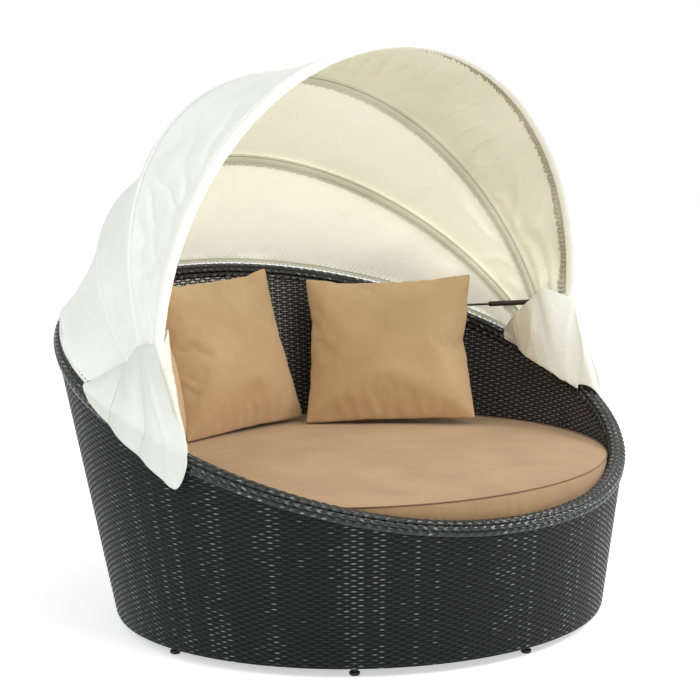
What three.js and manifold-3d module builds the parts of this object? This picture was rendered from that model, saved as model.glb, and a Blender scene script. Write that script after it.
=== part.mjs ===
// A round wicker daybed for a patio, with a canopy of three bows that folds back.
// Millimetres, +Z up, the open front towards -Y. The group stands centred on its footprint.
import * as THREE from 'three';
import { mergeVertices } from 'three/addons/utils/BufferGeometryUtils.js';
import Module from 'manifold-3d';

const wasm = await Module();
wasm.setup();

// The tub: an oval base whose wall flares outwards, less at the front than at the sides and back.
const baseHalfWidth = 700;
const baseHalfDepth = 656;
const wallBottom = 25;
const rimHalfWidth = 822;
const rimFrontReach = 681;
const rimBackReach = 788;
const frontRimHeight = 376;
const sideRimHeight = 626;
const backRimHeight = 909;
const rimSwell_share = 1.1;
const ringSteps = 56;

// The wall: two woven skins on a welded tube frame, capped by a braided band.
const wallThickness = 36;
const weaveThickness = 5;
const frameTubeDiameter = 24.8;
const bottomReturn = 52;
const braidProud = 7;
const braidRise = 9;
const braidDrop = 34;
const braidLeg = 4;
const braidFit = 0.8;
const braidShoulder_share = 0.45;
const tubeSides = 6;
const uprightCount = 8;
const clearance = 0.3;
const skinTopDrop = 2.6;
const roundSides = 12;
const slimSides = 8;

// The seat: a woven deck on a ring and cross bars, and a boxed mattress on it.
const deckHeight = 307;
const deckThickness = 12;
const seatBarPlaces = { front: -260, middle: 20, rear: 300 };
const mattressTop = 437.5;
const mattressCrown = 16;
const mattressEdge = 10;
const mattressSideBulge = 4;
const mattressSole_shares = [0.2, 0.97];
const mattressSide_shares = { low: 0.993, high: 0.996 };
const mattressTop_shares = [0.985, 0.93, 0.75, 0.45, 0.15];

// The loose pillows: how far round the tub each one's middle stands and how far in from the wall.
const pillowWidth = 515;
const pillowHeight = 475;
const pillowLoft = 160;
const pillowDrawIn = 16;
const pillowSteps = 12;
const pillowSwell_share = 0.9;
const pillowPlaces = {
  right: { around: 37.4, inset: 271, yaw: -47, tilt: 28, roll: 2.5 },
  left: { around: 95, inset: 222, yaw: 7.5, tilt: 18, roll: 1 },
  side: { around: 147.2, inset: 193, yaw: 67.5, tilt: 16.5, roll: -12 },
};

// The feet: round glides under the return of the weave.
const footCount = 8;
const footRadius = 14;
const footInset = 34;
const footChamfer = 3;
const footStemRadius = 9;
const footPadHeight = 9;

// The canopy frame: three bows on one pivot at each side, stacked side by side.
const pivotY = -72;
const pivotRise = 25.19;
const bowLeg = 200;
const bows = {
  front: { lean: 5.7, rise: 744, splay: 24, stack: 0 },
  middle: { lean: -24.4, rise: 742, splay: 0, stack: 1 },
  rear: { lean: -47, rise: 708, splay: 0, stack: 2 },
};
const bowTubeRadius = 10;
const bowFlatHalf = 3.85;
const bowFlatWidth = 26;
const bowFlatEnd = 118;
const bowRoundStart = 150;
const bowFoot = 15;
const bowSides = 8;
const bowSteps = 28;
const pivotBoltRadius = 4;
const boltHeadRadius = 8;
const boltHeadHeight = 5;
const nutRadius = 7.5;
const nutHeight = 6;
const bracketHalfWidth = 20;
const bracketThickness = 5;
const bracketDrop = 24;

// The gas struts: cylinder end on a plate behind the front bow, rod end on a lug inside the rim.
const strutSeat = 187;
const strutSetback = 45;
const strutAnchorY = 352;
const strutAnchorInset = 70;
const strutAnchorRise = 23.2;
const strutCylinderLength = 216;
const strutCylinderRadius = 8;
const strutBoreRadius = 6;
const strutBoreStart = 34;
const strutRodRadius = 3.5;
const strutMouthRadius = 4;
const strutGland = 9;
const strutPistonLength = 8;
const socketRadius = 8;
const socketSides = 10;
const socketNeckRadius = 5;
const socketNeckLength = 20;
const socketFloor = 2;
const ballRadius = 5;
const ballSteps = 4;
const ballPostRadius = 3;
const ballFlangeRadius = 7;
const ballFlangeThickness = 3;
const ballPostLength = 7.5;
const flagThickness = 5;
const flagHalf = 9;
const lugHalf = 10;
const lugHalfAngle = 1.3;
const lugDrop = 8;
const lugHeight = 22;

// The cloth: thin panels over the bows and an elastic hem on the rim.
const clothThickness = 3;
const clothLap = 7;
const clothButt = 0.4;
const frontLap = 10;
const panelRows = 4;
const panelSag = 12;
const rearPanelSag = 18;
const rearFoldDepth = 5;
const rearFoldCount = 9;
const hemAngle = 12;
const hemInset = 20;
const hemHeight = 14;
const hemThickness = 6;
// The side covers: cloth that wraps the legs and pivots from outside, round the front, to the inside.
const coverOuterSteps = 9;
const coverInnerSteps = 6;
const coverRows = 8;
const coverTipReach = 109;
const coverRearSetback = 28;
const coverFrontSwing = 30;
const coverTipDrop = 78;
const coverRearLift = 18;
const coverOverRim = 30;
const coverInnerOver = 6;
const coverInnerDrop = 8;
const coverStandOff = 9;
const coverSlack = 6;
const coverCollar = 26;
const coverNoseSlant = 50;
const coverBulgeReach = 60;
const coverBulgeBack = 105;
const coverFoldDepth = 9;
const coverFoldCount = 3;
const coverShoulder_share = 0.62;

const materials = {
  weave: new THREE.MeshStandardMaterial({ color: 0x23211e, roughness: 0.35, metalness: 0 }),
  frame: new THREE.MeshStandardMaterial({ color: 0x1d1c1b, roughness: 0.5, metalness: 0.6 }),
  plastic: new THREE.MeshStandardMaterial({ color: 0x141414, roughness: 0.55, metalness: 0 }),
  tan: new THREE.MeshStandardMaterial({ color: 0xc4a47a, roughness: 0.9, metalness: 0 }),
  cream: new THREE.MeshStandardMaterial({ color: 0xf0ede0, roughness: 0.9, metalness: 0 }),
  bowMetal: new THREE.MeshStandardMaterial({ color: 0xd8d4c8, roughness: 0.45, metalness: 0.3 }),
  strutBlack: new THREE.MeshStandardMaterial({ color: 0x1b1716, roughness: 0.35, metalness: 0.5 }),
  strutSteel: new THREE.MeshStandardMaterial({ color: 0x9a9a98, roughness: 0.2, metalness: 1 }),
  hardware: new THREE.MeshStandardMaterial({ color: 0x8c8c8a, roughness: 0.35, metalness: 1 }),
};

const daybed = new THREE.Group();
const turn = 2 * Math.PI;
const ringAngle = turn / ringSteps;
const radians = THREE.MathUtils.degToRad;
const point = (x, y, z) => new THREE.Vector3(x, y, z);
const mix = (a, b, share) => a + (b - a) * share;

function add(name, geometry, material) {
  geometry.computeVertexNormals();
  const mesh = new THREE.Mesh(geometry, material);
  mesh.name = name;
  daybed.add(mesh);
}

// Closed forms: a list of points and faces, turned so that the faces point outwards.
function closedForm(points, faces) {
  let volume = 0;
  const normal = new THREE.Vector3();
  for (let i = 0; i < faces.length; i += 3) {
    const [a, b, c] = [points[faces[i]], points[faces[i + 1]], points[faces[i + 2]]];
    volume += a.dot(normal.crossVectors(b, c));
  }
  const index = volume > 0 ? faces : faces.toReversed();
  const geometry = new THREE.BufferGeometry().setFromPoints(points);
  geometry.setIndex(index);
  return geometry;
}

// A skin over like sections, either round a closed ring or with a flat cap at both ends.
function loft(sections, closedRing = false) {
  const count = sections[0].length;
  const faces = [];
  const spans = closedRing ? sections.length : sections.length - 1;
  for (let i = 0; i < spans; i += 1) {
    const here = i * count;
    const next = ((i + 1) % sections.length) * count;
    for (let j = 0; j < count; j += 1) {
      const k = (j + 1) % count;
      faces.push(here + j, here + k, next + k, here + j, next + k, next + j);
    }
  }
  if (!closedRing) {
    const end = (sections.length - 1) * count;
    for (let j = 1; j < count - 1; j += 1) {
      faces.push(0, j + 1, j, end, end + j, end + j + 1);
    }
  }
  return closedForm(sections.flat(), faces);
}

// The two faces of a thin sheet round a grid of points, half its thickness to either side.
function facesAbout(grid, thickness) {
  const held = (i, count) => Math.max(0, Math.min(i, count - 1));
  const at = (i, j) => grid[held(i, grid.length)][held(j, grid[0].length)];
  const shifted = (distance) => grid.map((row, i) => row.map((place, j) => {
    const along = at(i + 1, j).clone().sub(at(i - 1, j));
    const across = at(i, j + 1).clone().sub(at(i, j - 1));
    return place.clone().addScaledVector(along.cross(across).normalize(), distance);
  }));
  return [shifted(thickness / 2), shifted(-thickness / 2)];
}

// A thin sheet between an upper and a lower grid of points.
function sheet(upper, lower) {
  const rows = upper.length;
  const columns = upper[0].length;
  const last = columns - 1;
  const points = [...upper.flat(), ...lower.flat()];
  const id = (side, i, j) => side * rows * columns + i * columns + j;
  const faces = [];
  const quad = (a, b, c, d) => faces.push(a, b, c, a, c, d);
  for (let i = 0; i < rows - 1; i += 1) {
    for (let j = 0; j < columns - 1; j += 1) {
      quad(id(0, i, j), id(0, i, j + 1), id(0, i + 1, j + 1), id(0, i + 1, j));
      quad(id(1, i, j), id(1, i + 1, j), id(1, i + 1, j + 1), id(1, i, j + 1));
    }
    quad(id(0, i, 0), id(0, i + 1, 0), id(1, i + 1, 0), id(1, i, 0));
    quad(id(0, i + 1, last), id(0, i, last), id(1, i, last), id(1, i + 1, last));
  }
  for (let j = 0; j < columns - 1; j += 1) {
    quad(id(0, 0, j + 1), id(0, 0, j), id(1, 0, j), id(1, 0, j + 1));
    quad(id(0, rows - 1, j), id(0, rows - 1, j + 1), id(1, rows - 1, j + 1), id(1, rows - 1, j));
  }
  return closedForm(points, faces);
}

const alongX = point(1, 0, 0);
const upwards = point(0, 0, 1);
const rod = (radius, start, end) => [[0, start], [radius, start], [radius, end], [0, end]];

// Turned pieces: a profile of [radius, place] pairs round a line from one point along a direction.
function turned(profile, from, direction, sides) {
  const geometry = new THREE.LatheGeometry(profile.map(([r, s]) => new THREE.Vector2(r, s)), sides);
  geometry.applyQuaternion(new THREE.Quaternion().setFromUnitVectors(point(0, 1, 0), direction));
  geometry.translate(from.x, from.y, from.z);
  return welded(geometry);
}

function welded(geometry) {
  geometry.deleteAttribute('normal');
  geometry.deleteAttribute('uv');
  const merged = mergeVertices(geometry, clearance / 100);
  const old = merged.getIndex().array;
  const faces = [];
  for (let i = 0; i < old.length; i += 3) {
    const [a, b, c] = [old[i], old[i + 1], old[i + 2]];
    if (a !== b && b !== c && a !== c) faces.push(a, b, c);
  }
  const place = merged.getAttribute('position');
  const points = [];
  for (let i = 0; i < place.count; i += 1) points.push(new THREE.Vector3().fromBufferAttribute(place, i));
  return closedForm(points, faces);
}

function toSolid(geometry) {
  const plain = welded(geometry.clone());
  return new wasm.Manifold(new wasm.Mesh({
    numProp: 3,
    vertProperties: plain.getAttribute('position').array,
    triVerts: Uint32Array.from(plain.getIndex().array),
  }));
}

function fromSolid(result) {
  const mesh = result.getMesh();
  const geometry = new THREE.BufferGeometry();
  geometry.setAttribute('position', new THREE.BufferAttribute(mesh.vertProperties, 3));
  geometry.setIndex(new THREE.BufferAttribute(mesh.triVerts, 1));
  return geometry;
}

const cut = (whole, hole) => fromSolid(toSolid(whole).subtract(toSolid(hole)));
const join = (one, other) => fromSolid(toSolid(one).add(toSolid(other)));

// The wall's outer face: the base oval and, above it, the flare that reaches the three rim sizes.
const frontFlare = (rimFrontReach - baseHalfDepth) / (frontRimHeight - wallBottom);
const sideFlare = (rimHalfWidth - baseHalfWidth) / (sideRimHeight - wallBottom);
const backFlare = (rimBackReach - baseHalfDepth) / (backRimHeight - wallBottom);

// The rim climbs from front to back in one smooth sweep that passes the side height at the sides.
const sideClimb = (sideRimHeight - frontRimHeight) / (backRimHeight - sideRimHeight);
const sideLift = sideClimb ** (1 / rimSwell_share);
const rimSkew = Math.log2((1 + sideLift) / sideLift);

function rimHeight(theta) {
  const place = ((1 + Math.sin(theta)) / 2) ** rimSkew;
  const climbed = place ** rimSwell_share;
  return mix(frontRimHeight, backRimHeight, climbed / (climbed + (1 - place) ** rimSwell_share));
}

function wallRadius(theta, height) {
  const base = 1 / Math.hypot(Math.cos(theta) / baseHalfWidth, Math.sin(theta) / baseHalfDepth);
  const middle = (frontFlare + backFlare) / 2;
  const swing = (backFlare - frontFlare) / 2;
  const flare = middle + swing * Math.sin(theta) + (sideFlare - middle) * Math.cos(theta) ** 2;
  return base + flare * (height - wallBottom);
}

function wallCorner(theta, height, inset) {
  const radius = wallRadius(theta, height) - inset;
  return point(radius * Math.cos(theta), radius * Math.sin(theta), height);
}

// A point of the faceted wall: heightAt gives the height, as a number above the floor, at each angle.
function wallPoint(theta, heightAt, inset) {
  const step = theta / ringAngle;
  const low = Math.floor(step);
  const before = low * ringAngle;
  const after = (low + 1) * ringAngle;
  const start = wallCorner(before, heightAt(before), inset);
  return start.lerp(wallCorner(after, heightAt(after), inset), step - low);
}

const onRim = (rise) => (theta) => rimHeight(theta) + rise;
const level = (height) => () => height;

// The wall's x at a given y and height, on the right-hand side.
function wallX(y, height, inset) {
  let theta = 0;
  for (let i = 0; i < 12; i += 1) {
    theta = Math.asin(y / (wallRadius(theta, height) - inset));
  }
  return (wallRadius(theta, height) - inset) * Math.cos(theta);
}

function wallAngle(y, height) {
  let theta = 0;
  for (let i = 0; i < 12; i += 1) theta = Math.asin(y / wallRadius(theta, height));
  return theta;
}

function ringOf(sectionAt) {
  const sections = [];
  for (let i = 0; i < ringSteps; i += 1) sections.push(sectionAt(i * ringAngle));
  return loft(sections, true);
}

const tubeRadius = frameTubeDiameter / 2;
const tubeInset = wallThickness / 2;

function ringTube(heightAt, inset) {
  return ringOf((theta) => {
    const section = [];
    for (let j = 0; j < tubeSides; j += 1) {
      const angle = (j / tubeSides) * turn;
      const out = tubeRadius * Math.cos(angle);
      const up = tubeRadius * Math.sin(angle);
      const centre = wallCorner(theta, heightAt(theta), inset);
      section.push(centre.add(point(out * Math.cos(theta), out * Math.sin(theta), up)));
    }
    return section;
  });
}

// The welded frame: base ring, rim ring, seat ring, uprights between them and bars under the deck.
const baseRingHeight = wallBottom + weaveThickness + clearance + tubeRadius;
const rimRingDrop = clearance * 3 + tubeRadius + braidRise / 3;
const seatRingHeight = deckHeight - deckThickness - clearance - tubeRadius;
const seatRingInset = tubeInset + 2 * tubeRadius + 2 * clearance;

function makeFrameRings() {
  add('base_ring', ringTube(level(baseRingHeight), tubeInset), materials.frame);
  add('rim_ring', ringTube(onRim(-rimRingDrop), tubeInset), materials.frame);
  add('seat_ring', ringTube(level(seatRingHeight), seatRingInset), materials.frame);
}

function makeUprights() {
  const names = ['right', 'back_right', 'back', 'back_left', 'left', 'front_left', 'front', 'front_right'];
  const slopeRoom = tubeRadius / 2;
  for (let i = 0; i < uprightCount; i += 1) {
    const theta = (i / uprightCount) * turn;
    const bottom = baseRingHeight + tubeRadius + clearance;
    const top = rimHeight(theta) - rimRingDrop - tubeRadius - slopeRoom;
    const sections = [bottom, top].map((height) => {
      const centre = wallCorner(theta, height, tubeInset);
      const section = [];
      for (let j = 0; j < tubeSides; j += 1) {
        const angle = (j / tubeSides) * turn + theta;
        const corner = point(tubeRadius * Math.cos(angle), tubeRadius * Math.sin(angle), 0);
        section.push(corner.add(centre));
      }
      return section;
    });
    add(`upright_${names[i % names.length]}`, loft(sections), materials.frame);
  }
}

function seatRingReach(y) {
  const inset = seatRingInset + tubeRadius + clearance;
  let reach = baseHalfWidth;
  for (let i = 0; i < ringSteps; i += 1) {
    const a = wallCorner(i * ringAngle, seatRingHeight, inset);
    const b = wallCorner((i + 1) * ringAngle, seatRingHeight, inset);
    const crosses = (a.y - y) * (b.y - y) <= 0 && a.x > 0 && b.x > 0;
    if (crosses) reach = mix(a.x, b.x, (y - a.y) / (b.y - a.y));
  }
  return reach;
}

function makeSeatBars() {
  for (const [name, y] of Object.entries(seatBarPlaces)) {
    const reach = Math.min(seatRingReach(y - tubeRadius), seatRingReach(y + tubeRadius));
    const half = reach - clearance;
    const bar = turned(rod(tubeRadius, -half, half), point(0, y, seatRingHeight), alongX, slimSides);
    add(`seat_bar_${name}`, bar, materials.frame);
  }
}

// The woven skins: the outer one turns in under the base ring, the inner one stands on the deck.
function makeWeave() {
  const outer = ringOf((theta) => {
    const top = rimHeight(theta) - skinTopDrop;
    const under = wallBottom + weaveThickness;
    return [
      wallCorner(theta, top, 0),
      wallCorner(theta, top, weaveThickness),
      wallCorner(theta, under, weaveThickness),
      wallCorner(theta, under, bottomReturn),
      wallCorner(theta, wallBottom, bottomReturn),
      wallCorner(theta, wallBottom, weaveThickness),
      wallCorner(theta, under, 0),
    ];
  });
  add('outer_weave', outer, materials.weave);
  const inner = ringOf((theta) => {
    const top = rimHeight(theta) - skinTopDrop;
    const foot = deckHeight + clearance;
    const back = wallThickness - weaveThickness;
    return [
      wallCorner(theta, top, back),
      wallCorner(theta, top, wallThickness),
      wallCorner(theta, foot, wallThickness),
      wallCorner(theta, foot, back),
    ];
  });
  add('inner_weave', inner, materials.weave);
}

// The braided band is a channel turned upside down over the edges of both skins.
const braidInnerFace = wallThickness + braidFit + braidLeg;

function makeBraid() {
  const braid = ringOf((theta) => {
    const rim = rimHeight(theta);
    const at = (inset, rise) => wallCorner(theta, rim + rise, inset);
    const shoulder = braidRise * braidShoulder_share;
    return [
      at(-braidProud, -braidDrop),
      at(-braidProud, -braidRise),
      at(-braidProud / 3, shoulder),
      at(wallThickness / 2, braidRise),
      at(braidInnerFace - braidLeg, shoulder),
      at(braidInnerFace, -braidRise),
      at(braidInnerFace, -braidDrop),
      at(wallThickness + braidFit, -braidDrop),
      at(wallThickness + braidFit, braidFit - skinTopDrop),
      at(-braidFit, braidFit - skinTopDrop),
      at(-braidFit, -braidDrop),
    ];
  });
  add('rim_braid', braid, materials.weave);
}

function oval(height, inset, drop = 0) {
  const section = [];
  for (let i = 0; i < ringSteps; i += 1) {
    const corner = wallCorner(i * ringAngle, height, inset);
    section.push(corner.setZ(height - drop));
  }
  return section;
}

function scaledOval(outline, share, height) {
  return outline.map((corner) => point(corner.x * share, corner.y * share, height));
}

function makeDeck() {
  const inset = wallThickness - weaveThickness + clearance;
  const bottom = deckHeight - deckThickness;
  add('seat_deck', loft([oval(bottom, inset), oval(bottom, inset, -deckThickness)]), materials.weave);
}

const mattressInset = braidInnerFace + clearance + mattressSideBulge;

// The mattress: a boxed round pad with rounded seams, a slightly bulging side and a crowned top.
function makeMattress() {
  const bottom = deckHeight + clearance;
  const edge = oval(mattressTop, mattressInset);
  const foot = oval(bottom, mattressInset);
  const waist = oval((bottom + mattressTop) / 2, mattressInset - mattressSideBulge);
  const top = (share) => mattressTop + mattressCrown * (1 - share ** 2);
  const rings = [
    ...mattressSole_shares.map((share) => scaledOval(foot, share, bottom)),
    scaledOval(foot, mattressSide_shares.low, bottom + mattressEdge),
    waist,
    scaledOval(edge, mattressSide_shares.high, mattressTop - mattressEdge),
    edge,
    ...mattressTop_shares.map((share) => scaledOval(edge, share, top(share))),
  ];
  add('seat_mattress', loft(rings), materials.tan);
}

// A knife-edge pillow: two crowned faces sewn together, drawn in between its four corners.
function pillowForm() {
  const n = pillowSteps;
  const points = [];
  const ids = new Map();
  const id = (side, i, j) => {
    const onEdge = i === 0 || j === 0 || i === n || j === n;
    const key = `${onEdge ? 0 : side},${i},${j}`;
    if (!ids.has(key)) {
      ids.set(key, points.length);
      const u = Math.sin(((2 * i) / n - 1) * (Math.PI / 2));
      const v = Math.sin(((2 * j) / n - 1) * (Math.PI / 2));
      const across = (pillowWidth / 2 - pillowDrawIn * (1 - v ** 2)) * u;
      const along = (pillowHeight / 2 - pillowDrawIn * (1 - u ** 2)) * v;
      const swell = ((1 - u ** 2) * (1 - v ** 2)) ** (pillowSwell_share / 2);
      const loftHere = onEdge ? 0 : (pillowLoft / 2) * swell * side;
      points.push(point(across, loftHere, along));
    }
    return ids.get(key);
  };
  const faces = [];
  for (const side of [1, -1]) {
    for (let i = 0; i < n; i += 1) {
      for (let j = 0; j < n; j += 1) {
        const [a, b] = [id(side, i, j), id(side, i + 1, j)];
        const [c, d] = [id(side, i + 1, j + 1), id(side, i, j + 1)];
        const towardsCorner = (i < n / 2) === (j < n / 2);
        const cell = towardsCorner ? [a, b, c, a, c, d] : [b, c, d, b, d, a];
        faces.push(...(side > 0 ? cell : cell.reverse()));
      }
    }
  }
  return closedForm(points, faces);
}

// Each pillow sinks until its lowest point lies on the crowned mattress.
function crownUnder(place) {
  const edge = wallRadius(Math.atan2(place.y, place.x), mattressTop) - mattressInset;
  const share = Math.hypot(place.x, place.y) / edge;
  return share < 1 ? mattressTop + mattressCrown * (1 - share ** 2) : 0;
}

function makePillows() {
  for (const [name, { around, inset, yaw, tilt, roll }] of Object.entries(pillowPlaces)) {
    const geometry = pillowForm();
    geometry.rotateY(-radians(roll));
    geometry.rotateX(-radians(tilt));
    geometry.rotateZ(radians(yaw));
    const height = mattressTop + (pillowHeight / 2) * Math.cos(radians(tilt));
    const middle = wallCorner(radians(around), height, inset);
    geometry.translate(middle.x, middle.y, height);
    const places = geometry.getAttribute('position');
    let drop = height;
    for (let i = 0; i < places.count; i += 1) {
      const place = new THREE.Vector3().fromBufferAttribute(places, i);
      drop = Math.min(drop, place.z - crownUnder(place));
    }
    geometry.translate(0, 0, clearance - drop);
    add(`pillow_${name}`, geometry, materials.tan);
  }
}

function makeFeet() {
  const names = ['right', 'back_right', 'back', 'back_left', 'left', 'front_left', 'front', 'front_right'];
  const top = wallBottom - clearance;
  const profile = [
    [0, 0],
    [footRadius - footChamfer, 0],
    [footRadius, footChamfer],
    [footRadius, footPadHeight],
    [footStemRadius, footPadHeight + footChamfer],
    [footStemRadius, top],
    [0, top],
  ];
  for (let i = 0; i < footCount; i += 1) {
    const centre = wallCorner((i / footCount) * turn, wallBottom, footInset).setZ(0);
    add(`foot_${names[i % names.length]}`, turned(profile, centre, upwards, roundSides), materials.plastic);
  }
}

// The pivots: a bracket on the braid's inner side, then the flattened bow ends on one bolt.
const pivotHeight = rimHeight(wallAngle(pivotY, sideRimHeight)) + pivotRise;
const bracketCorners = [pivotY - bracketHalfWidth, pivotY + bracketHalfWidth];
const bracketFoot = rimHeight(wallAngle(bracketCorners[0], pivotHeight)) - bracketDrop;
const bracketWall = bracketCorners.map((y) => wallX(y, bracketFoot, braidInnerFace));
const bracketFace = Math.min(...bracketWall) - 3 * clearance;
const stackPitch = 2 * bowFlatHalf + clearance;
const bowHalf = (bow) => bracketFace - bracketThickness - clearance - bowFlatHalf - bow.stack * stackPitch;

function mirrored(geometry, side) {
  if (side > 0) return geometry;
  return welded(geometry.clone().scale(-1, 1, 1));
}

const sides = { right: 1, left: -1 };

const boltHole = (pivotBoltRadius + clearance) / Math.cos(Math.PI / roundSides);

function bracketPlate() {
  const outline = new THREE.Shape();
  outline.moveTo(-bracketHalfWidth, bracketFoot - pivotHeight);
  outline.lineTo(bracketHalfWidth, bracketFoot - pivotHeight);
  outline.lineTo(bracketHalfWidth, 0);
  outline.absarc(0, 0, bracketHalfWidth, 0, Math.PI, false);
  outline.lineTo(-bracketHalfWidth, 0);
  const hole = new THREE.Path();
  hole.absarc(0, 0, boltHole, 0, turn, true);
  outline.holes.push(hole);
  const settings = { depth: bracketThickness, bevelEnabled: false, curveSegments: 8 };
  const geometry = new THREE.ExtrudeGeometry(outline, settings);
  const axes = new THREE.Matrix4().makeBasis(point(0, 1, 0), point(0, 0, 1), point(1, 0, 0));
  axes.setPosition(bracketFace - bracketThickness, pivotY, pivotHeight);
  return welded(geometry.applyMatrix4(axes));
}

function makePivots() {
  const inboard = bowHalf(bows.rear) - bowFlatHalf - clearance;
  const nutStart = bracketFace + clearance;
  const boltEnd = nutStart + nutHeight;
  const bolt = [
    [0, 0],
    [boltHeadRadius, 0],
    [boltHeadRadius, boltHeadHeight],
    [pivotBoltRadius, boltHeadHeight],
    [pivotBoltRadius, boltHeadHeight + boltEnd - inboard],
    [0, boltHeadHeight + boltEnd - inboard],
  ];
  const nut = [[boltHole, 0], [nutRadius, 0], [nutRadius, nutHeight], [boltHole, nutHeight], [boltHole, 0]];
  for (const [name, side] of Object.entries(sides)) {
    add(`pivot_bracket_${name}`, mirrored(bracketPlate(), side), materials.frame);
    const boltForm = turned(bolt, point(inboard - boltHeadHeight, pivotY, pivotHeight), alongX, roundSides);
    add(`pivot_bolt_${name}`, mirrored(boltForm, side), materials.hardware);
    const nutForm = turned(nut, point(nutStart, pivotY, pivotHeight), alongX, roundSides);
    add(`pivot_nut_${name}`, mirrored(nutForm, side), materials.hardware);
  }
}

// A place on a bow: across is x, out is the distance from the pivot, ahead is off the bow's plane.
function bowPlace(bow, across, out, ahead = 0) {
  const lean = radians(bow.lean);
  const y = pivotY - out * Math.sin(lean) - ahead * Math.cos(lean);
  const z = pivotHeight + out * Math.cos(lean) - ahead * Math.sin(lean);
  return point(across, y, z);
}

// Above its flat the front bow's leg bends outwards, so that its arch is wider than the pivots.
const archHalf = (bow) => bowHalf(bow) + bow.splay;

function legAcross(bow, out) {
  const share = Math.max(0, (out - bowFlatEnd) / (bowLeg - bowFlatEnd));
  return mix(bowHalf(bow), archHalf(bow), share);
}

// The arch's centre line is half an oval; stand moves it outwards in the bow's plane.
function archPlace(bow, angle, stand, ahead = 0) {
  const half = archHalf(bow);
  const normal = new THREE.Vector2(Math.cos(angle) / half, Math.sin(angle) / bow.rise).normalize();
  const across = half * Math.cos(angle) + stand * normal.x;
  const out = bowLeg + bow.rise * Math.sin(angle) + stand * normal.y;
  return bowPlace(bow, across, out, ahead);
}

function bowStations(bow) {
  const half = archHalf(bow);
  const flat = { thick: bowFlatHalf, wide: bowFlatWidth / 2 };
  const round = { thick: bowTubeRadius, wide: bowTubeRadius };
  const leg = [[-bowFoot, flat], [bowFlatEnd, flat], [bowRoundStart, round]];
  const right = leg.map(([out, form]) => ({ across: legAcross(bow, out), out, slope: 0, ...form }));
  const left = right.map((station) => ({ ...station, across: -station.across, slope: Math.PI })).reverse();
  const arch = [];
  for (let i = 0; i <= bowSteps; i += 1) {
    const angle = (i / bowSteps) * Math.PI;
    const slope = Math.atan2(Math.sin(angle) / bow.rise, Math.cos(angle) / half);
    const across = half * Math.cos(angle);
    arch.push({ across, out: bowLeg + bow.rise * Math.sin(angle), slope, ...round });
  }
  return [...right, ...arch, ...left];
}

function bowTube(bow) {
  const grow = 1 / Math.cos(Math.PI / bowSides);
  const sections = bowStations(bow).map((station) => {
    const section = [];
    for (let j = 0; j < bowSides; j += 1) {
      const angle = ((j + 0.5) / bowSides) * turn;
      const off = station.thick * grow * Math.cos(angle);
      const ahead = station.wide * grow * Math.sin(angle);
      const across = station.across + off * Math.cos(station.slope);
      const out = station.out + off * Math.sin(station.slope);
      section.push(bowPlace(bow, across, out, ahead));
    }
    return section;
  });
  const reach = bowHalf(bow) + stackPitch;
  const drill = turned(rod(boltHole, -reach, reach), point(0, pivotY, pivotHeight), alongX, roundSides);
  return cut(loft(sections), drill);
}

// The strut's two pivots, on the right-hand side, each a ball on a post that points at the wall.
const studReach = ballPostLength + ballFlangeThickness;
const flagFace = bowHalf(bows.front) - bowTubeRadius - flagThickness / 2;
const strutTop = bowPlace(bows.front, flagFace - clearance - studReach, strutSeat, -strutSetback);
const anchorRim = rimHeight(wallAngle(strutAnchorY, backRimHeight));
const anchorX = wallX(strutAnchorY, anchorRim, strutAnchorInset);
const strutAnchor = point(anchorX, strutAnchorY, anchorRim + strutAnchorRise);

// A bent plate welded to the bow: from the leg inboard and back, then flat behind the strut's ball.
function bowFlag() {
  const section = (across, back) => {
    const at = (thick, up) => bowPlace(bows.front, across + thick, strutSeat + up, -back);
    return [at(0, -flagHalf), at(flagThickness, -flagHalf), at(flagThickness, flagHalf), at(0, flagHalf)];
  };
  return loft([
    section(legAcross(bows.front, strutSeat) - flagThickness / 2, 0),
    section(flagFace, strutSetback - flagHalf),
    section(flagFace, strutSetback + flagHalf),
  ]);
}

function makeBows() {
  let front = bowTube(bows.front);
  for (const side of Object.values(sides)) front = join(front, mirrored(bowFlag(), side));
  add('bow_front', front, materials.bowMetal);
  add('bow_middle', bowTube(bows.middle), materials.bowMetal);
  add('bow_rear', bowTube(bows.rear), materials.bowMetal);
}

// A socket on a strut's end: a cup round the ball, open towards the wall, with a neck along the strut.
function socketForm(centre, direction) {
  const bore = ballRadius + clearance;
  const cup = turned(rod(socketRadius, -bore - socketFloor, ballRadius), centre, alongX, socketSides);
  const neck = turned(rod(socketNeckRadius, 0, socketNeckLength), centre, direction, slimSides);
  const boreCorner = bore / Math.cos(Math.PI / socketSides);
  const hole = turned(rod(boreCorner, -bore, 2 * bore), centre, alongX, socketSides);
  return cut(join(cup, neck), hole);
}

// A ball on a post with a flange, its ball centred in the socket and its flange towards the wall.
function ballStud(centre) {
  const neckAngle = Math.acos(ballPostRadius / ballRadius);
  const profile = [[0, -ballRadius]];
  for (let i = 1; i <= ballSteps; i += 1) {
    const angle = mix(-Math.PI / 2, neckAngle, i / ballSteps);
    profile.push([ballRadius * Math.cos(angle), ballRadius * Math.sin(angle)]);
  }
  profile.push([ballPostRadius, ballPostLength]);
  profile.push([ballFlangeRadius, ballPostLength]);
  profile.push([ballFlangeRadius, ballPostLength + ballFlangeThickness]);
  profile.push([0, ballPostLength + ballFlangeThickness]);
  return turned(profile, centre, alongX, socketSides);
}

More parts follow.
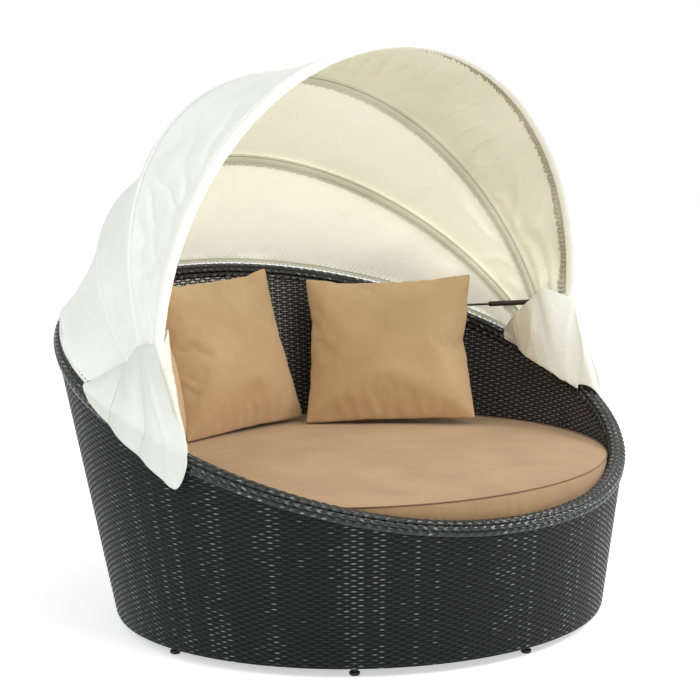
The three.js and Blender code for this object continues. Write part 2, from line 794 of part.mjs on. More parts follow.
// The lug that carries the rod end: a solid wedge from the braid's inner side to the ball's flange.
function anchorLug() {
  const theta = wallAngle(strutAnchorY, strutAnchor.z);
  const inset = braidInnerFace + clearance;
  const half = radians(lugHalfAngle);
  const atWall = (offset, drop) => wallPoint(theta + offset, onRim(-drop), inset);
  const wall = [
    atWall(-half, lugDrop + lugHeight),
    atWall(half, lugDrop + lugHeight),
    atWall(half, lugDrop),
    atWall(-half, lugDrop),
  ];
  const face = strutAnchor.x + studReach + clearance;
  const end = [[-lugHalf, -lugHalf], [lugHalf, -lugHalf], [lugHalf, lugHalf], [-lugHalf, lugHalf]];
  const nose = end.map(([y, z]) => point(face, strutAnchor.y + y, strutAnchor.z + z));
  return loft([wall, nose]);
}

function makeStruts() {
  const along = strutAnchor.clone().sub(strutTop);
  const length = along.length();
  along.normalize();
  const back = along.clone().negate();
  const mouth = strutCylinderLength;
  const start = socketNeckLength + clearance;
  const cylinder = [
    [0, start],
    [strutCylinderRadius, start],
    [strutCylinderRadius, mouth],
    [strutMouthRadius, mouth],
    [strutMouthRadius, mouth - strutGland],
    [strutBoreRadius, mouth - strutGland],
    [strutBoreRadius, strutBoreStart],
    [0, strutBoreStart],
  ];
  const pistonEnd = mouth - strutGland - clearance;
  const pistonRadius = strutBoreRadius - clearance;
  const rodEnd = length - socketNeckLength - clearance;
  const pistonRod = [
    [0, pistonEnd - strutPistonLength],
    [pistonRadius, pistonEnd - strutPistonLength],
    [pistonRadius, pistonEnd],
    [strutRodRadius, pistonEnd],
    [strutRodRadius, rodEnd],
    [0, rodEnd],
  ];
  for (const [name, side] of Object.entries(sides)) {
    const parts = {
      cylinder: [turned(cylinder, strutTop, along, roundSides), materials.strutBlack],
      cylinder_socket: [socketForm(strutTop, along), materials.plastic],
      cylinder_ball: [ballStud(strutTop), materials.hardware],
      rod: [turned(pistonRod, strutTop, along, slimSides), materials.strutSteel],
      rod_socket: [socketForm(strutAnchor, back), materials.plastic],
      rod_ball: [ballStud(strutAnchor), materials.hardware],
      lug: [anchorLug(), materials.frame],
    };
    for (const [part, [geometry, material]] of Object.entries(parts)) {
      add(`strut_${name}_${part}`, mirrored(geometry, side), material);
    }
  }
}

// The hem's line on the braid, from the right-hand side round the back to the left.
const hemStart = radians(hemAngle);
const hemTheta = (share) => mix(hemStart, Math.PI - hemStart, share);

const clothStand = bowTubeRadius + clearance;
const bowCorner = bowTubeRadius / Math.cos(Math.PI / bowSides);

// A row of places across the canopy, at one stand from a bow's centre line.
function bowRow(bow, stand, ahead) {
  const row = [];
  for (let i = 0; i <= bowSteps; i += 1) row.push(archPlace(bow, (i / bowSteps) * Math.PI, stand, ahead));
  return row;
}

function hemRow(inset, rise) {
  const row = [];
  for (let i = 0; i <= bowSteps; i += 1) row.push(wallPoint(hemTheta(i / bowSteps), onRim(rise), inset));
  return row;
}

// Rows between two edges, drawn in towards the middle of the canopy, with upright folds if asked.
// The drawing in fades out at the row's two ends, where the side covers hang.
function rowsBetween(first, last, sag, foldDepth, foldCount) {
  const hub = point(0, pivotY, pivotHeight);
  const rows = [];
  for (let k = 1; k <= panelRows; k += 1) {
    const share = k / (panelRows + 1);
    rows.push(first.map((place, i) => {
      const here = place.clone().lerp(last[i], share);
      const fold = foldDepth * Math.cos((i / bowSteps) * foldCount * turn) * share;
      const inwards = hub.clone().sub(here).normalize();
      const fade = Math.sqrt(Math.sin((i / bowSteps) * Math.PI));
      return here.addScaledVector(inwards, (sag * 4 * share * (1 - share) + fold) * fade);
    }));
  }
  return rows;
}

function panel(startRows, endRows, sag, foldDepth = 0, foldCount = 0) {
  const grid = (side) => {
    const first = startRows(side);
    const last = endRows(side);
    return [...first, ...rowsBetween(first.at(-1), last[0], sag, foldDepth, foldCount), ...last];
  };
  return sheet(grid(clothStand + clothThickness), grid(clothStand));
}

const behind = (bow) => (stand) => [bowRow(bow, stand, -clothButt), bowRow(bow, stand, -clothLap)];
const ahead = (bow) => (stand) => [bowRow(bow, stand, clothLap), bowRow(bow, stand, clothButt)];

function makeCanopy() {
  const frontEdge = (stand) => [
    bowRow(bows.front, stand, frontLap),
    bowRow(bows.front, stand, -clothLap),
  ];
  const hemTop = braidRise + hemHeight + 3 * clearance;
  const atHem = (stand) => [hemRow(hemInset + clothThickness / 2 - (stand - clothStand), hemTop)];
  add('canopy_front', panel(frontEdge, ahead(bows.middle), panelSag), materials.cream);
  add('canopy_middle', panel(behind(bows.middle), ahead(bows.rear), panelSag), materials.cream);
  const rear = panel(behind(bows.rear), atHem, rearPanelSag, rearFoldDepth, rearFoldCount);
  add('canopy_rear', rear, materials.cream);
}

function makeHem() {
  const sections = [];
  const foot = braidRise + 2 * clearance;
  for (let i = 0; i <= bowSteps; i += 1) {
    const theta = hemTheta(i / bowSteps);
    const at = (inset, rise) => wallPoint(theta, onRim(rise), inset);
    sections.push([
      at(hemInset - hemThickness / 2, foot),
      at(hemInset - hemThickness / 2, foot + hemHeight),
      at(hemInset + hemThickness / 2, foot + hemHeight),
      at(hemInset + hemThickness / 2, foot),
    ]);
  }
  add('canopy_hem', loft(sections), materials.cream);
}

// Where the side cover hangs from: the tops of the three legs and the hem's end.
const coverMiddle = (bowCorner + 2 * clearance) / Math.cos(radians(22.5)) + clothThickness / 2;

function rimSpot(y, inset, rise) {
  const rim = rimHeight(wallAngle(y, sideRimHeight));
  return point(wallX(y, rim, inset), y, rim + rise);
}

function outerStops() {
  const out = bowLeg - 2 * clothButt;
  const stops = Object.values(bows).map((bow) => bowPlace(bow, archHalf(bow) + coverMiddle, out));
  const rearEnd = wallPoint(hemStart, onRim(braidRise + hemHeight), hemInset);
  rearEnd.y -= coverSlack;
  return [...stops, rearEnd];
}

function innerStops() {
  const [front, middle, rear, end] = outerStops();
  const inboard = strutTop.x - strutCylinderRadius - 2 * coverSlack;
  front.set(inboard, strutTop.y, front.z + coverCollar);
  middle.setX(inboard);
  rear.setX(bowHalf(bows.rear) - bowTubeRadius - coverSlack);
  end.setX(wallX(end.y, rimHeight(hemStart), braidInnerFace + coverSlack));
  return [front, middle, rear, end];
}

function alongStops(stops, share) {
  const place = share * (stops.length - 1);
  const low = Math.min(Math.floor(place), stops.length - 2);
  return stops[low].clone().lerp(stops[low + 1], place - low);
}

const coverRearEnd = () => outerStops().at(-1).y - coverRearSetback;

// A column of the cover is three places: its top, where it bends at the rim, and its lower edge.
function outerColumn(share) {
  const front = 1 - share;
  const tipY = mix(pivotY - coverTipReach, coverRearEnd(), share);
  const overY = tipY - coverFrontSwing * front;
  const fold = coverFoldDepth * (1 - Math.cos(share * coverFoldCount * turn)) / 2;
  const off = -braidProud - coverStandOff - fold;
  const drop = coverTipDrop * front - coverRearLift * share;
  return [alongStops(outerStops(), share), rimSpot(overY, off, coverOverRim), rimSpot(tipY, off, -drop)];
}

// Round the front leg, and slanting back over the rim from its outer side to its inner side.
function noseColumns() {
  const tipY = pivotY - coverTipReach - coverFrontSwing;
  const rise = braidRise + coverSlack;
  const tips = [
    rimSpot(tipY, -braidProud / 2, rise),
    rimSpot(tipY + coverNoseSlant / 2, tubeInset, rise),
    rimSpot(tipY + coverNoseSlant, braidInnerFace, coverSlack),
  ];
  return tips.map((tip, k) => {
    const round = radians(45) * (k + 1);
    const away = coverMiddle + 4 * clearance;
    const across = archHalf(bows.front) + away * Math.cos(round);
    const top = bowPlace(bows.front, across, bowLeg - 2 * clothButt, away * Math.sin(round));
    return [top, top.clone().lerp(tip, coverShoulder_share), tip];
  });
}

// Inside, the cover swells past the pivot bolts and the legs, and ends at the rim's inner edge.
function innerColumn(share) {
  const boltFace = bowHalf(bows.rear) - bowFlatHalf - clearance - boltHeadHeight;
  const top = alongStops(innerStops(), share);
  const frontY = pivotY - coverTipReach - coverFrontSwing + coverNoseSlant;
  const tipY = mix(frontY + coverSlack, innerStops().at(-1).y, share);
  const tip = rimSpot(tipY, braidInnerFace + coverSlack, -coverInnerDrop);
  const swell = (y) => Math.exp(-((y / coverBulgeReach) ** 2));
  tip.x = mix(tip.x, bracketFace - bracketThickness - 2 * coverSlack, swell(tipY - pivotY));
  const overY = mix(tipY, top.y, 1 - coverShoulder_share);
  const over = rimSpot(overY, braidInnerFace + 2 * coverSlack, coverInnerOver);
  const past = over.y - pivotY;
  const clear = past > 0 ? swell(Math.max(0, past - coverBulgeBack)) : swell(past);
  over.x = mix(over.x, boltFace - coverSlack, clear);
  return [top, over, tip];
}

function coverGrid() {
  const columns = [];
  for (let j = coverOuterSteps; j >= 0; j -= 1) columns.push(outerColumn(j / coverOuterSteps));
  columns.push(...noseColumns());
  for (let j = 0; j <= coverInnerSteps; j += 1) columns.push(innerColumn(j / coverInnerSteps));
  const rows = [];
  for (let i = 0; i <= coverRows; i += 1) {
    const down = i / coverRows;
    const below = (down - coverShoulder_share) / (1 - coverShoulder_share);
    rows.push(columns.map(([top, over, tip]) => (
      below > 0 ? over.clone().lerp(tip, below) : top.clone().lerp(over, down / coverShoulder_share)
    )));
  }
  return rows;
}

function makeSideCovers() {
  const cover = sheet(...facesAbout(coverGrid(), clothThickness));
  for (const [name, side] of Object.entries(sides)) {
    add(`side_cover_${name}`, mirrored(cover, side), materials.cream);
  }
}

makeFrameRings();
makeUprights();
makeSeatBars();
makeWeave();
makeBraid();
makeDeck();
makeMattress();
makePillows();
makeFeet();
makePivots();
makeBows();
makeStruts();
makeCanopy();
makeHem();
makeSideCovers();

// Stand the daybed on the floor with its footprint centred on the origin.
const extent = new THREE.Box3().setFromObject(daybed);
const middle = extent.getCenter(new THREE.Vector3());
daybed.position.set(-middle.x, -middle.y, -extent.min.z);
daybed.updateMatrixWorld(true);

export default daybed;
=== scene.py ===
import math
from functools import partial

import bpy
from mathutils import Matrix, Vector, noise


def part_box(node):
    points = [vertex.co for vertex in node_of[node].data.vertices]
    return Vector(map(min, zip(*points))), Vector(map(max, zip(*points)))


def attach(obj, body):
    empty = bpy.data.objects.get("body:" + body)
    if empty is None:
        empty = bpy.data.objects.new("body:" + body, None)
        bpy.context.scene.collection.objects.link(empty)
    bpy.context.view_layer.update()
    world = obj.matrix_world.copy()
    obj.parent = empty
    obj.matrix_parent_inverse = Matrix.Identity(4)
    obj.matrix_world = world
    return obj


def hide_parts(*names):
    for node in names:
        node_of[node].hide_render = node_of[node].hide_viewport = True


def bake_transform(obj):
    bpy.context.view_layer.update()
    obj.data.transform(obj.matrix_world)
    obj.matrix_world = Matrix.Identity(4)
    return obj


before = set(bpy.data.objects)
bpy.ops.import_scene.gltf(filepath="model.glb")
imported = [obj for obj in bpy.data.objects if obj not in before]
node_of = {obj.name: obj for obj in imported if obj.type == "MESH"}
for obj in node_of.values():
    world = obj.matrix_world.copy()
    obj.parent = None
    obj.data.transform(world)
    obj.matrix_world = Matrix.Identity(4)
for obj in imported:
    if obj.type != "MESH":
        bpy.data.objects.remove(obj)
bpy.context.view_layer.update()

# Studio
# A pale seamless floor, a white surround and broad soft lamps, with the camera at the
# photographer's place: a little left of the open front, just above the height of the rim.
camera_place = (-3.6186, -3.8704, 1.4597)
camera_line = Vector((0.679, 0.716, -0.161))
camera_lens, camera_sensor, view_depth = 98.47, 36, 60
camera_shift = (-0.0169, 0.0663)
surround_light, floor_glow, floor_size = 0.50, 0.55, 30
lamp_aim = Vector((0, 0, 0.7))
lamps = [
    ("key_lamp", (-0.6, -3.4, 3.6), 2.4, 62, (1.0, 0.995, 0.98)),
    ("side_lamp", (3.0, -2.6, 2.8), 1.5, 72, (1.0, 0.99, 0.96)),
    ("left_lamp", (-4.0, -0.6, 2.4), 2.4, 30, (0.97, 0.99, 1.0)),
]
white = (1, 1, 1, 1)

scene = bpy.context.scene
scene.view_settings.view_transform = "Standard"
camera_data = bpy.data.cameras.new("studio_camera")
camera_data.lens = camera_lens
camera_data.sensor_width = camera_sensor
camera_data.shift_x, camera_data.shift_y = camera_shift
camera_data.clip_end = view_depth
camera = bpy.data.objects.new("studio_camera", camera_data)
camera.location = camera_place
camera.rotation_euler = camera_line.to_track_quat("-Z", "Y").to_euler()
scene.collection.objects.link(camera)
scene.camera = camera


# A node given as an input is linked by its first output, a socket as it is.
def add_node(tree, kind, inputs=None, **settings):
    made = tree.nodes.new("ShaderNode" + kind)
    for name, value in settings.items():
        setattr(made, name, value)
    for name, value in (inputs or {}).items():
        if isinstance(value, bpy.types.Node):
            value = value.outputs[0]
        if isinstance(value, bpy.types.NodeSocket):
            tree.links.new(value, made.inputs[name])
        else:
            made.inputs[name].default_value = value
    return made


def linear(code):
    parts = [int(code[i : i + 2], 16) / 255 for i in (1, 3, 5)]
    return (*[p / 12.92 if p < 0.0405 else ((p + 0.055) / 1.055) ** 2.4 for p in parts], 1)


def new_material(name):
    made = bpy.data.materials.new(name)
    made.use_nodes = True
    return made, made.node_tree, made.node_tree.nodes["Principled BSDF"]


# 1 for what the camera sees straight on, in a gloss or through glass, and 0 for light on the object.
def seen_by_eye(tree):
    rays = add_node(tree, "LightPath").outputs
    straight_or_gloss = {0: rays["Is Camera Ray"], 1: rays["Is Glossy Ray"]}
    direct = add_node(tree, "Math", straight_or_gloss, operation="MAXIMUM")
    return add_node(tree, "Math", {0: direct, 1: rays["Is Transmission Ray"]}, operation="MAXIMUM")


world = bpy.data.worlds.new("studio_surround")
world.use_nodes = True
scene.world = world
surround = world.node_tree
span = {"Value": seen_by_eye(surround), "To Min": surround_light, "To Max": 1.0}
level = add_node(surround, "MapRange", span)
surround.links.new(level.outputs[0], surround.nodes["Background"].inputs["Strength"])
surround.nodes["Background"].inputs["Color"].default_value = white

for name, place, size, power, tint in lamps:
    lamp = bpy.data.lights.new(name, "AREA")
    lamp.shape = "DISK"
    lamp.size = size
    lamp.energy = power
    lamp.color = tint
    lamp_object = bpy.data.objects.new(name, lamp)
    lamp_object.location = place
    lamp_object.rotation_euler = (lamp_aim - Vector(place)).to_track_quat("-Z", "Y").to_euler()
    scene.collection.objects.link(lamp_object)

bpy.ops.object.select_all(action="DESELECT")
bpy.ops.mesh.primitive_plane_add(size=floor_size, location=(0, 0, 0))
floor = bpy.context.object
floor.name = "studio_floor"
# Flat white paint. Its glow shows only to the eye, so the floor is white and keeps its shadow.
floor_paint, tree, shader = new_material("studio_floor_paint")
shader.inputs["Base Color"].default_value = linear("#fbfbfb")
shader.inputs["Roughness"].default_value = 0.9
shader.inputs["Emission Color"].default_value = white
glow = add_node(tree, "Math", {0: seen_by_eye(tree), 1: floor_glow}, operation="MULTIPLY")
tree.links.new(glow.outputs[0], shader.inputs["Emission Strength"])
floor.data.materials.append(floor_paint)

# Welded frame
# Round aluminium tube, bent into rings and welded to eight uprights and three seat bars, then
# powder coated. It lies inside the wall and below the deck, so only its underside can be seen.
mm = 0.001
corners = ["right", "back_right", "back", "back_left", "left", "front_left", "front", "front_right"]
sides_of_tub = ("right", "left")


# A sprayed or moulded skin: an even colour, half matt, with a fine grain that only breaks its shine.
def coated_finish(name, code, roughness, grain, detail, strength, depth):
    made, tree, shader = new_material(name)
    place = add_node(tree, "TexCoord").outputs["Object"]
    specks = add_node(tree, "TexNoise", {"Vector": place, "Scale": 1 / grain, "Detail": detail})
    lift = add_node(tree, "Bump", {"Height": specks, "Strength": strength, "Distance": depth})
    tree.links.new(lift.outputs[0], shader.inputs["Normal"])
    shader.inputs["Base Color"].default_value = linear(code)
    shader.inputs["Roughness"].default_value = roughness
    return made


def finish_nodes(names, material):
    for name in names:
        node_of[name].data.materials.clear()
        node_of[name].data.materials.append(material)


# Powder coat: dark grey and half matt, with a faint orange-peel grain.
frame_coat = coated_finish("powder_coated_tube", "#22211f", 0.45, 1.11 * mm, 2, 0.25, 0.4 * mm)
frame_nodes = ["base_ring", "rim_ring", "seat_ring"] + [f"upright_{c}" for c in corners]
frame_nodes += [f"seat_bar_{b}" for b in ("front", "middle", "rear")]
frame_nodes += [f"pivot_bracket_{s}" for s in sides_of_tub]
frame_nodes += [f"strut_{s}_lug" for s in sides_of_tub]
finish_nodes(frame_nodes, frame_coat)

# Woven wall
# Flat strips of dark extruded plastic, woven over and under upright stakes: rows 7.3 mm high,
# stakes about 20 mm apart, so the crests catch the light as short dashes set like brickwork.
tub_y = -0.05315
row_height, stake_count = 0.0073, 248
base_half = (0.700, 0.656)
wall_bottom, wall_thickness = 0.025, 0.036
rim_reach = {"front": 0.681, "side": 0.822, "back": 0.788}
rim_heights = {"front": 0.376, "side": 0.626, "back": 0.909}
rim_swell = 1.1
strip_crest, strip_shoulder, strip_gap = 0.0021, 0.78, 0.0008
skin_thick, rim_cut, foot_return = 0.005, 0.0026, 0.052
half_row = row_height / 2
first_crest = 0.2

# A Mix node set to colours takes its share in socket 0 and its two colours in 6 and 7, and gives
# the result from socket 2.
mix_share, mix_from, mix_to, mix_result = 0, 6, 7, 2
strip_round, strip_top, stake_round, stake_top = -4.0, 0.92, -2.6, 0.27
# The painted highlights on the crests: where on the strip, how strongly, by what chance, and how they fade
# along x.
light_above, stake_slope, dash_boost = 0.12, -7.0, 2.0
crest_chance, stake_chance, chance_low, chance_high = 0.35, 0.65, 1.30, 1.60
band_size, glint_fade_span, glint_fade_floor = 312.5 * mm, 0.35, 0.16


# Polyethylene strip, dark and half glossy, with painted shade, near black, in the gaps between rows. The
# light's dashes on the crests are painted highlights, since each is thinner than a pixel: glint_share says
# how many, glint_slope how thin, glint_ends how short, stake_glint how bright the stakes show, and the
# last argument says where along x the painted highlights start to fade.
def weave_material(name, strip, gap, glint, glint_share, glint_slope, glint_ends, stake_glint, glint_fade_from):
    made, tree, shader = new_material(name)
    place = add_node(tree, "TexCoord").outputs["Object"]
    centred = add_node(tree, "VectorMath", {0: place, 1: (0, -tub_y, 0)}, operation="ADD")
    axes = add_node(tree, "SeparateXYZ", {0: centred})

    # The place on the wall, counted in stakes around and in rows up.
    around = add_node(tree, "Math", {0: axes.outputs["Y"], 1: axes.outputs["X"]}, operation="ARCTAN2")
    stakes = add_node(tree, "Math", {0: around, 1: stake_count / (2 * math.pi)}, operation="MULTIPLY")
    rows = add_node(tree, "Math", {0: axes.outputs["Z"], 1: 1 / row_height}, operation="MULTIPLY")
    row = add_node(tree, "Math", {0: rows}, operation="FLOOR")
    row_part = add_node(tree, "Math", {0: rows}, operation="FRACT")
    within = add_node(tree, "Math", {0: row_part, 1: 0.5}, operation="SUBTRACT")
    stake_middle = add_node(tree, "Math", {0: stakes, 1: 0.5}, operation="ADD")
    stake = add_node(tree, "Math", {0: stake_middle}, operation="FLOOR")
    stake_part = add_node(tree, "Math", {0: stake_middle}, operation="FRACT")
    from_stake = add_node(tree, "Math", {0: stake_part, 1: 0.5}, operation="SUBTRACT")
    stake_distance = add_node(tree, "Math", {0: from_stake}, operation="ABSOLUTE")

    # The strip's crest, rounded across and over every other stake, and the stake in the gaps.
    crossing = add_node(tree, "Math", {0: stakes, 1: row}, operation="ADD")
    turn = add_node(tree, "Math", {0: crossing, 1: math.pi}, operation="MULTIPLY")
    wave = add_node(tree, "Math", {0: turn}, operation="COSINE")
    wave_span = {"Value": wave, "From Min": -0.95, "From Max": 0.35}
    over = add_node(tree, "MapRange", wave_span, interpolation_type="SMOOTHSTEP")
    across = add_node(tree, "Math", {0: within, 1: within}, operation="MULTIPLY")
    strip_form = add_node(tree, "Math", {0: across, 1: strip_round, 2: strip_top}, operation="MULTIPLY_ADD")
    crest = add_node(tree, "Math", {0: strip_form, 1: over}, operation="MULTIPLY")
    beside = add_node(tree, "Math", {0: from_stake, 1: from_stake}, operation="MULTIPLY")
    stake_form = add_node(tree, "Math", {0: beside, 1: stake_round, 2: stake_top}, operation="MULTIPLY_ADD")
    height = add_node(tree, "Math", {0: crest, 1: stake_form}, operation="MAXIMUM")
    # Painted shade: the lower the surface, the darker its colour, down to near black in the gaps.
    tone = add_node(tree, "MapRange", {"Value": height, "From Min": 0.22, "From Max": 0.75})
    body_mix = {mix_share: tone, mix_from: linear(gap), mix_to: linear(strip)}
    body = add_node(tree, "Mix", body_mix, data_type="RGBA").outputs[mix_result]

    # Which crests catch the light: by chance, in loose bands and along some stakes more than others.
    crest_place = add_node(tree, "CombineXYZ", {"X": stake, "Y": row})
    stake_place = add_node(tree, "CombineXYZ", {"X": stake})
    crest_luck = add_node(tree, "TexWhiteNoise", {"Vector": crest_place})
    stake_luck = add_node(tree, "TexWhiteNoise", {"Vector": stake_place})
    bands = add_node(tree, "TexNoise", {"Vector": centred, "Scale": 1 / band_size, "Detail": 2})
    crest_part = add_node(tree, "Math", {0: crest_luck, 1: crest_chance, 2: bands}, operation="MULTIPLY_ADD")
    luck = add_node(tree, "Math", {0: stake_luck, 1: stake_chance, 2: crest_part}, operation="MULTIPLY_ADD")
    chance = {"Value": luck, "From Min": chance_low - glint_share, "From Max": chance_high - glint_share}
    chosen = add_node(tree, "MapRange", chance)
    # Painted highlight: past a point along x the painted glints fade, where less light falls.
    fade = {"Value": axes.outputs["X"], "From Min": glint_fade_from, "From Max": glint_fade_from + glint_fade_span}
    glint_fading = add_node(tree, "MapRange", {**fade, "To Min": 1.0, "To Max": glint_fade_floor})

    # The painted highlight itself: a line a little above the strip's middle, and a thin one up each stake.
    off_line = add_node(tree, "Math", {0: within, 1: light_above}, operation="SUBTRACT")
    line_distance = add_node(tree, "Math", {0: off_line}, operation="ABSOLUTE")
    line = add_node(tree, "Math", {0: line_distance, 1: -glint_slope, 2: 1.0}, operation="MULTIPLY_ADD")
    line = add_node(tree, "Math", {0: line, 1: 0.0}, operation="MAXIMUM")
    length = add_node(tree, "Math", {0: stake_distance, 1: -glint_ends, 2: 1.0}, operation="MULTIPLY_ADD")
    length = add_node(tree, "Math", {0: length, 1: 0.0}, operation="MAXIMUM")
    dash = add_node(tree, "Math", {0: line, 1: length}, operation="MULTIPLY")
    dash = add_node(tree, "Math", {0: dash, 1: over}, operation="MULTIPLY")
    dash = add_node(tree, "Math", {0: dash, 1: chosen}, operation="MULTIPLY")
    upright = add_node(tree, "Math", {0: stake_distance, 1: stake_slope, 2: 1.0}, operation="MULTIPLY_ADD")
    upright = add_node(tree, "Math", {0: upright, 1: 0.0}, operation="MAXIMUM")
    under = add_node(tree, "Math", {0: 1.0, 1: over}, operation="SUBTRACT")
    upright = add_node(tree, "Math", {0: upright, 1: under}, operation="MULTIPLY")
    upright = add_node(tree, "Math", {0: upright, 1: stake_glint}, operation="MULTIPLY")
    shine = add_node(tree, "Math", {0: dash, 1: upright}, operation="MAXIMUM")
    shine = add_node(tree, "Math", {0: shine, 1: dash_boost}, operation="MULTIPLY")
    shine = add_node(tree, "Math", {0: shine, 1: 1.0}, operation="MINIMUM")
    shine = add_node(tree, "Math", {0: shine, 1: glint_fading}, operation="MULTIPLY")
    shine_mix = {mix_share: shine, mix_from: body, mix_to: linear(glint)}
    colour = add_node(tree, "Mix", shine_mix, data_type="RGBA")
    gloss_span = {"Value": height, "From Min": 0.2, "From Max": 0.9, "To Min": 0.6, "To Max": 0.24}
    gloss = add_node(tree, "MapRange", gloss_span)
    lift = add_node(tree, "Bump", {"Height": height, "Strength": 0.6, "Distance": 3 * mm})
    tree.links.new(colour.outputs[mix_result], shader.inputs["Base Color"])
    tree.links.new(gloss.outputs[0], shader.inputs["Roughness"])
    tree.links.new(lift.outputs[0], shader.inputs["Normal"])
    shader.inputs["Specular IOR Level"].default_value = 0.2
    return made


def select_only(*pieces):
    bpy.ops.object.select_all(action="DESELECT")
    for piece in pieces:
        piece.select_set(True)
    bpy.context.view_layer.objects.active = pieces[0]


def mesh_piece(name, points, faces, smooth=60):
    mesh = bpy.data.meshes.new(name)
    mesh.from_pydata([tuple(p) for p in points], [], faces)
    mesh.update()
    made = bpy.data.objects.new(name, mesh)
    scene.collection.objects.link(made)
    select_only(made)
    bpy.ops.object.shade_smooth_by_angle(angle=math.radians(smooth))
    return made


def turn_outwards(piece):
    select_only(piece)
    bpy.ops.object.mode_set(mode="EDIT")
    bpy.ops.mesh.select_all(action="SELECT")
    bpy.ops.mesh.normals_make_consistent(inside=False)
    bpy.ops.object.mode_set(mode="OBJECT")


def dress(piece, material, slot, body, *replaced):
    piece.data.materials.clear()
    piece.data.materials.append(material)
    if replaced:
        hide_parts(*replaced)
    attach(piece, body)


def rim_height(theta):
    climb = (rim_heights["side"] - rim_heights["front"]) / (rim_heights["back"] - rim_heights["side"])
    lift = climb ** (1 / rim_swell)
    place = ((1 + math.sin(theta)) / 2) ** math.log2((1 + lift) / lift)
    share = place**rim_swell / (place**rim_swell + (1 - place) ** rim_swell)
    return rim_heights["front"] + (rim_heights["back"] - rim_heights["front"]) * share


def wall_radius(theta, height):
    base = 1 / math.hypot(math.cos(theta) / base_half[0], math.sin(theta) / base_half[1])
    front = (rim_reach["front"] - base_half[1]) / (rim_heights["front"] - wall_bottom)
    side = (rim_reach["side"] - base_half[0]) / (rim_heights["side"] - wall_bottom)
    back = (rim_reach["back"] - base_half[1]) / (rim_heights["back"] - wall_bottom)
    middle = (front + back) / 2
    flare = middle + (back - front) / 2 * math.sin(theta) + (side - middle) * math.cos(theta) ** 2
    return base + flare * (height - wall_bottom)


def wall_point(theta, height, inset):
    radius = wall_radius(theta, height) - inset
    return Vector((radius * math.cos(theta), radius * math.sin(theta) + tub_y, height))


# One column of a skin, from its lower edge up the woven face, over the top and down its plain back.
def skin_column(i, first_row, face_inset, outward, bottom, return_inset):
    theta = math.pi * i / stake_count
    top = rim_height(theta) - rim_cut
    heights = [(bottom, 0)]
    heights += [(k * half_row, k) for k in range(first_row, int(top / half_row))]
    heights.append((top, 0))
    section = []
    for height, k in heights:
        crossing = (i + k - 1) % 4
        over = 1 if crossing == 0 else 0 if crossing == 2 else strip_shoulder
        lift = strip_crest * over if k % 2 else -strip_gap
        section.append(wall_point(theta, height, face_inset - lift * outward))
    back_inset = face_inset + skin_thick * outward
    back = [(top, back_inset), (bottom + (skin_thick if return_inset else 0), back_inset)]
    if return_inset:
        back += [(bottom + skin_thick, return_inset), (bottom, return_inset)]
    return section, [wall_point(theta, height, inset) for height, inset in back]


# Each column has as many rows as its height holds, so a lower column repeats its last point.
def woven_skin(name, face_inset, outward, bottom, return_inset):
    points, columns = [], []
    first_row = math.ceil(bottom / half_row + first_crest)
    for i in range(2 * stake_count):
        woven, back = skin_column(i, first_row, face_inset, outward, bottom, return_inset)
        columns.append((len(points), len(woven), len(woven) + len(back)))
        points += woven + back
    tallest = max(front for start, front, whole in columns)
    loops = []
    for start, front, whole in columns:
        loop = [start + min(k, front - 1) for k in range(tallest)]
        loops.append(loop + list(range(start + front, start + whole)))
    faces = []
    for i, here in enumerate(loops):
        there = loops[(i + 1) % len(loops)]
        for k in range(len(here)):
            m = (k + 1) % len(here)
            ends = [here[k], there[k], there[m], here[m]]
            kept = [c for n, c in enumerate(ends) if c != ends[n - 1]]
            if len(kept) > 2:
                faces.append(tuple(kept))
    skin = mesh_piece(name, points, faces, 75)
    turn_outwards(skin)
    return skin


# Outside, in the shade of the rim, the strips are painted a little darker than inside, as painted shade,
# nearly black, with few and thin painted grey glints.
wall_weave = weave_material(
    "woven_strip_plastic", "#222624", "#020302", "#8f9592",
    glint_share=0.18, glint_slope=4.6, glint_ends=2.4, stake_glint=0.0, glint_fade_from=2.0,
)
# Inside, where the light falls on it, most crests get a painted white glint, fading towards the right.
inner_weave = weave_material(
    "woven_strip_inside", "#262827", "#020202", "#f7f8f5",
    glint_share=1.05, glint_slope=2.6, glint_ends=1.5, stake_glint=0.40, glint_fade_from=0.02,
)
finish_nodes(["seat_deck"], wall_weave)
skin = woven_skin("outer_woven_skin", 0, 1, wall_bottom, foot_return)
dress(skin, wall_weave, "weave", "tub", "outer_weave")
deck_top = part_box("inner_weave")[0][2]
skin = woven_skin("inner_woven_skin", wall_thickness, -1, deck_top, 0)
dress(skin, inner_weave, "weave", "tub", "inner_weave")

# Braided rim
# A band of the same strips plaited over the top edge of both skins. Each strip shows as a long
# smooth lobe about 26 mm along the rim, in seven rows that lean and lock into each other.
braid_proud, braid_rise, braid_drop, braid_leg = 0.007, 0.009, 0.034, 0.0048
braid_inner = wall_thickness + braid_leg
braid_steps, braid_rows, samples_across = 1176, 7, 6
lobe_aim, lobe_lean, lobe_rise, lobe_sink = 0.027, 0.34, 0.0046, 0.0018
under_gap = 0.001
braid_path = [
    (-braid_proud + 0.003, -braid_drop),
    (-braid_proud + 0.001, -braid_rise * 1.4),
    (-braid_proud / 3, 0.0),
    (wall_thickness * 0.28, braid_rise * 0.55),
    (wall_thickness / 2, braid_rise * 0.5),
    (wall_thickness * 0.72, braid_rise * 0.55),
    (braid_inner - braid_leg, 0.0),
    (braid_inner - 0.001, -braid_rise * 1.4),
    (braid_inner - 0.003, -braid_drop),
]


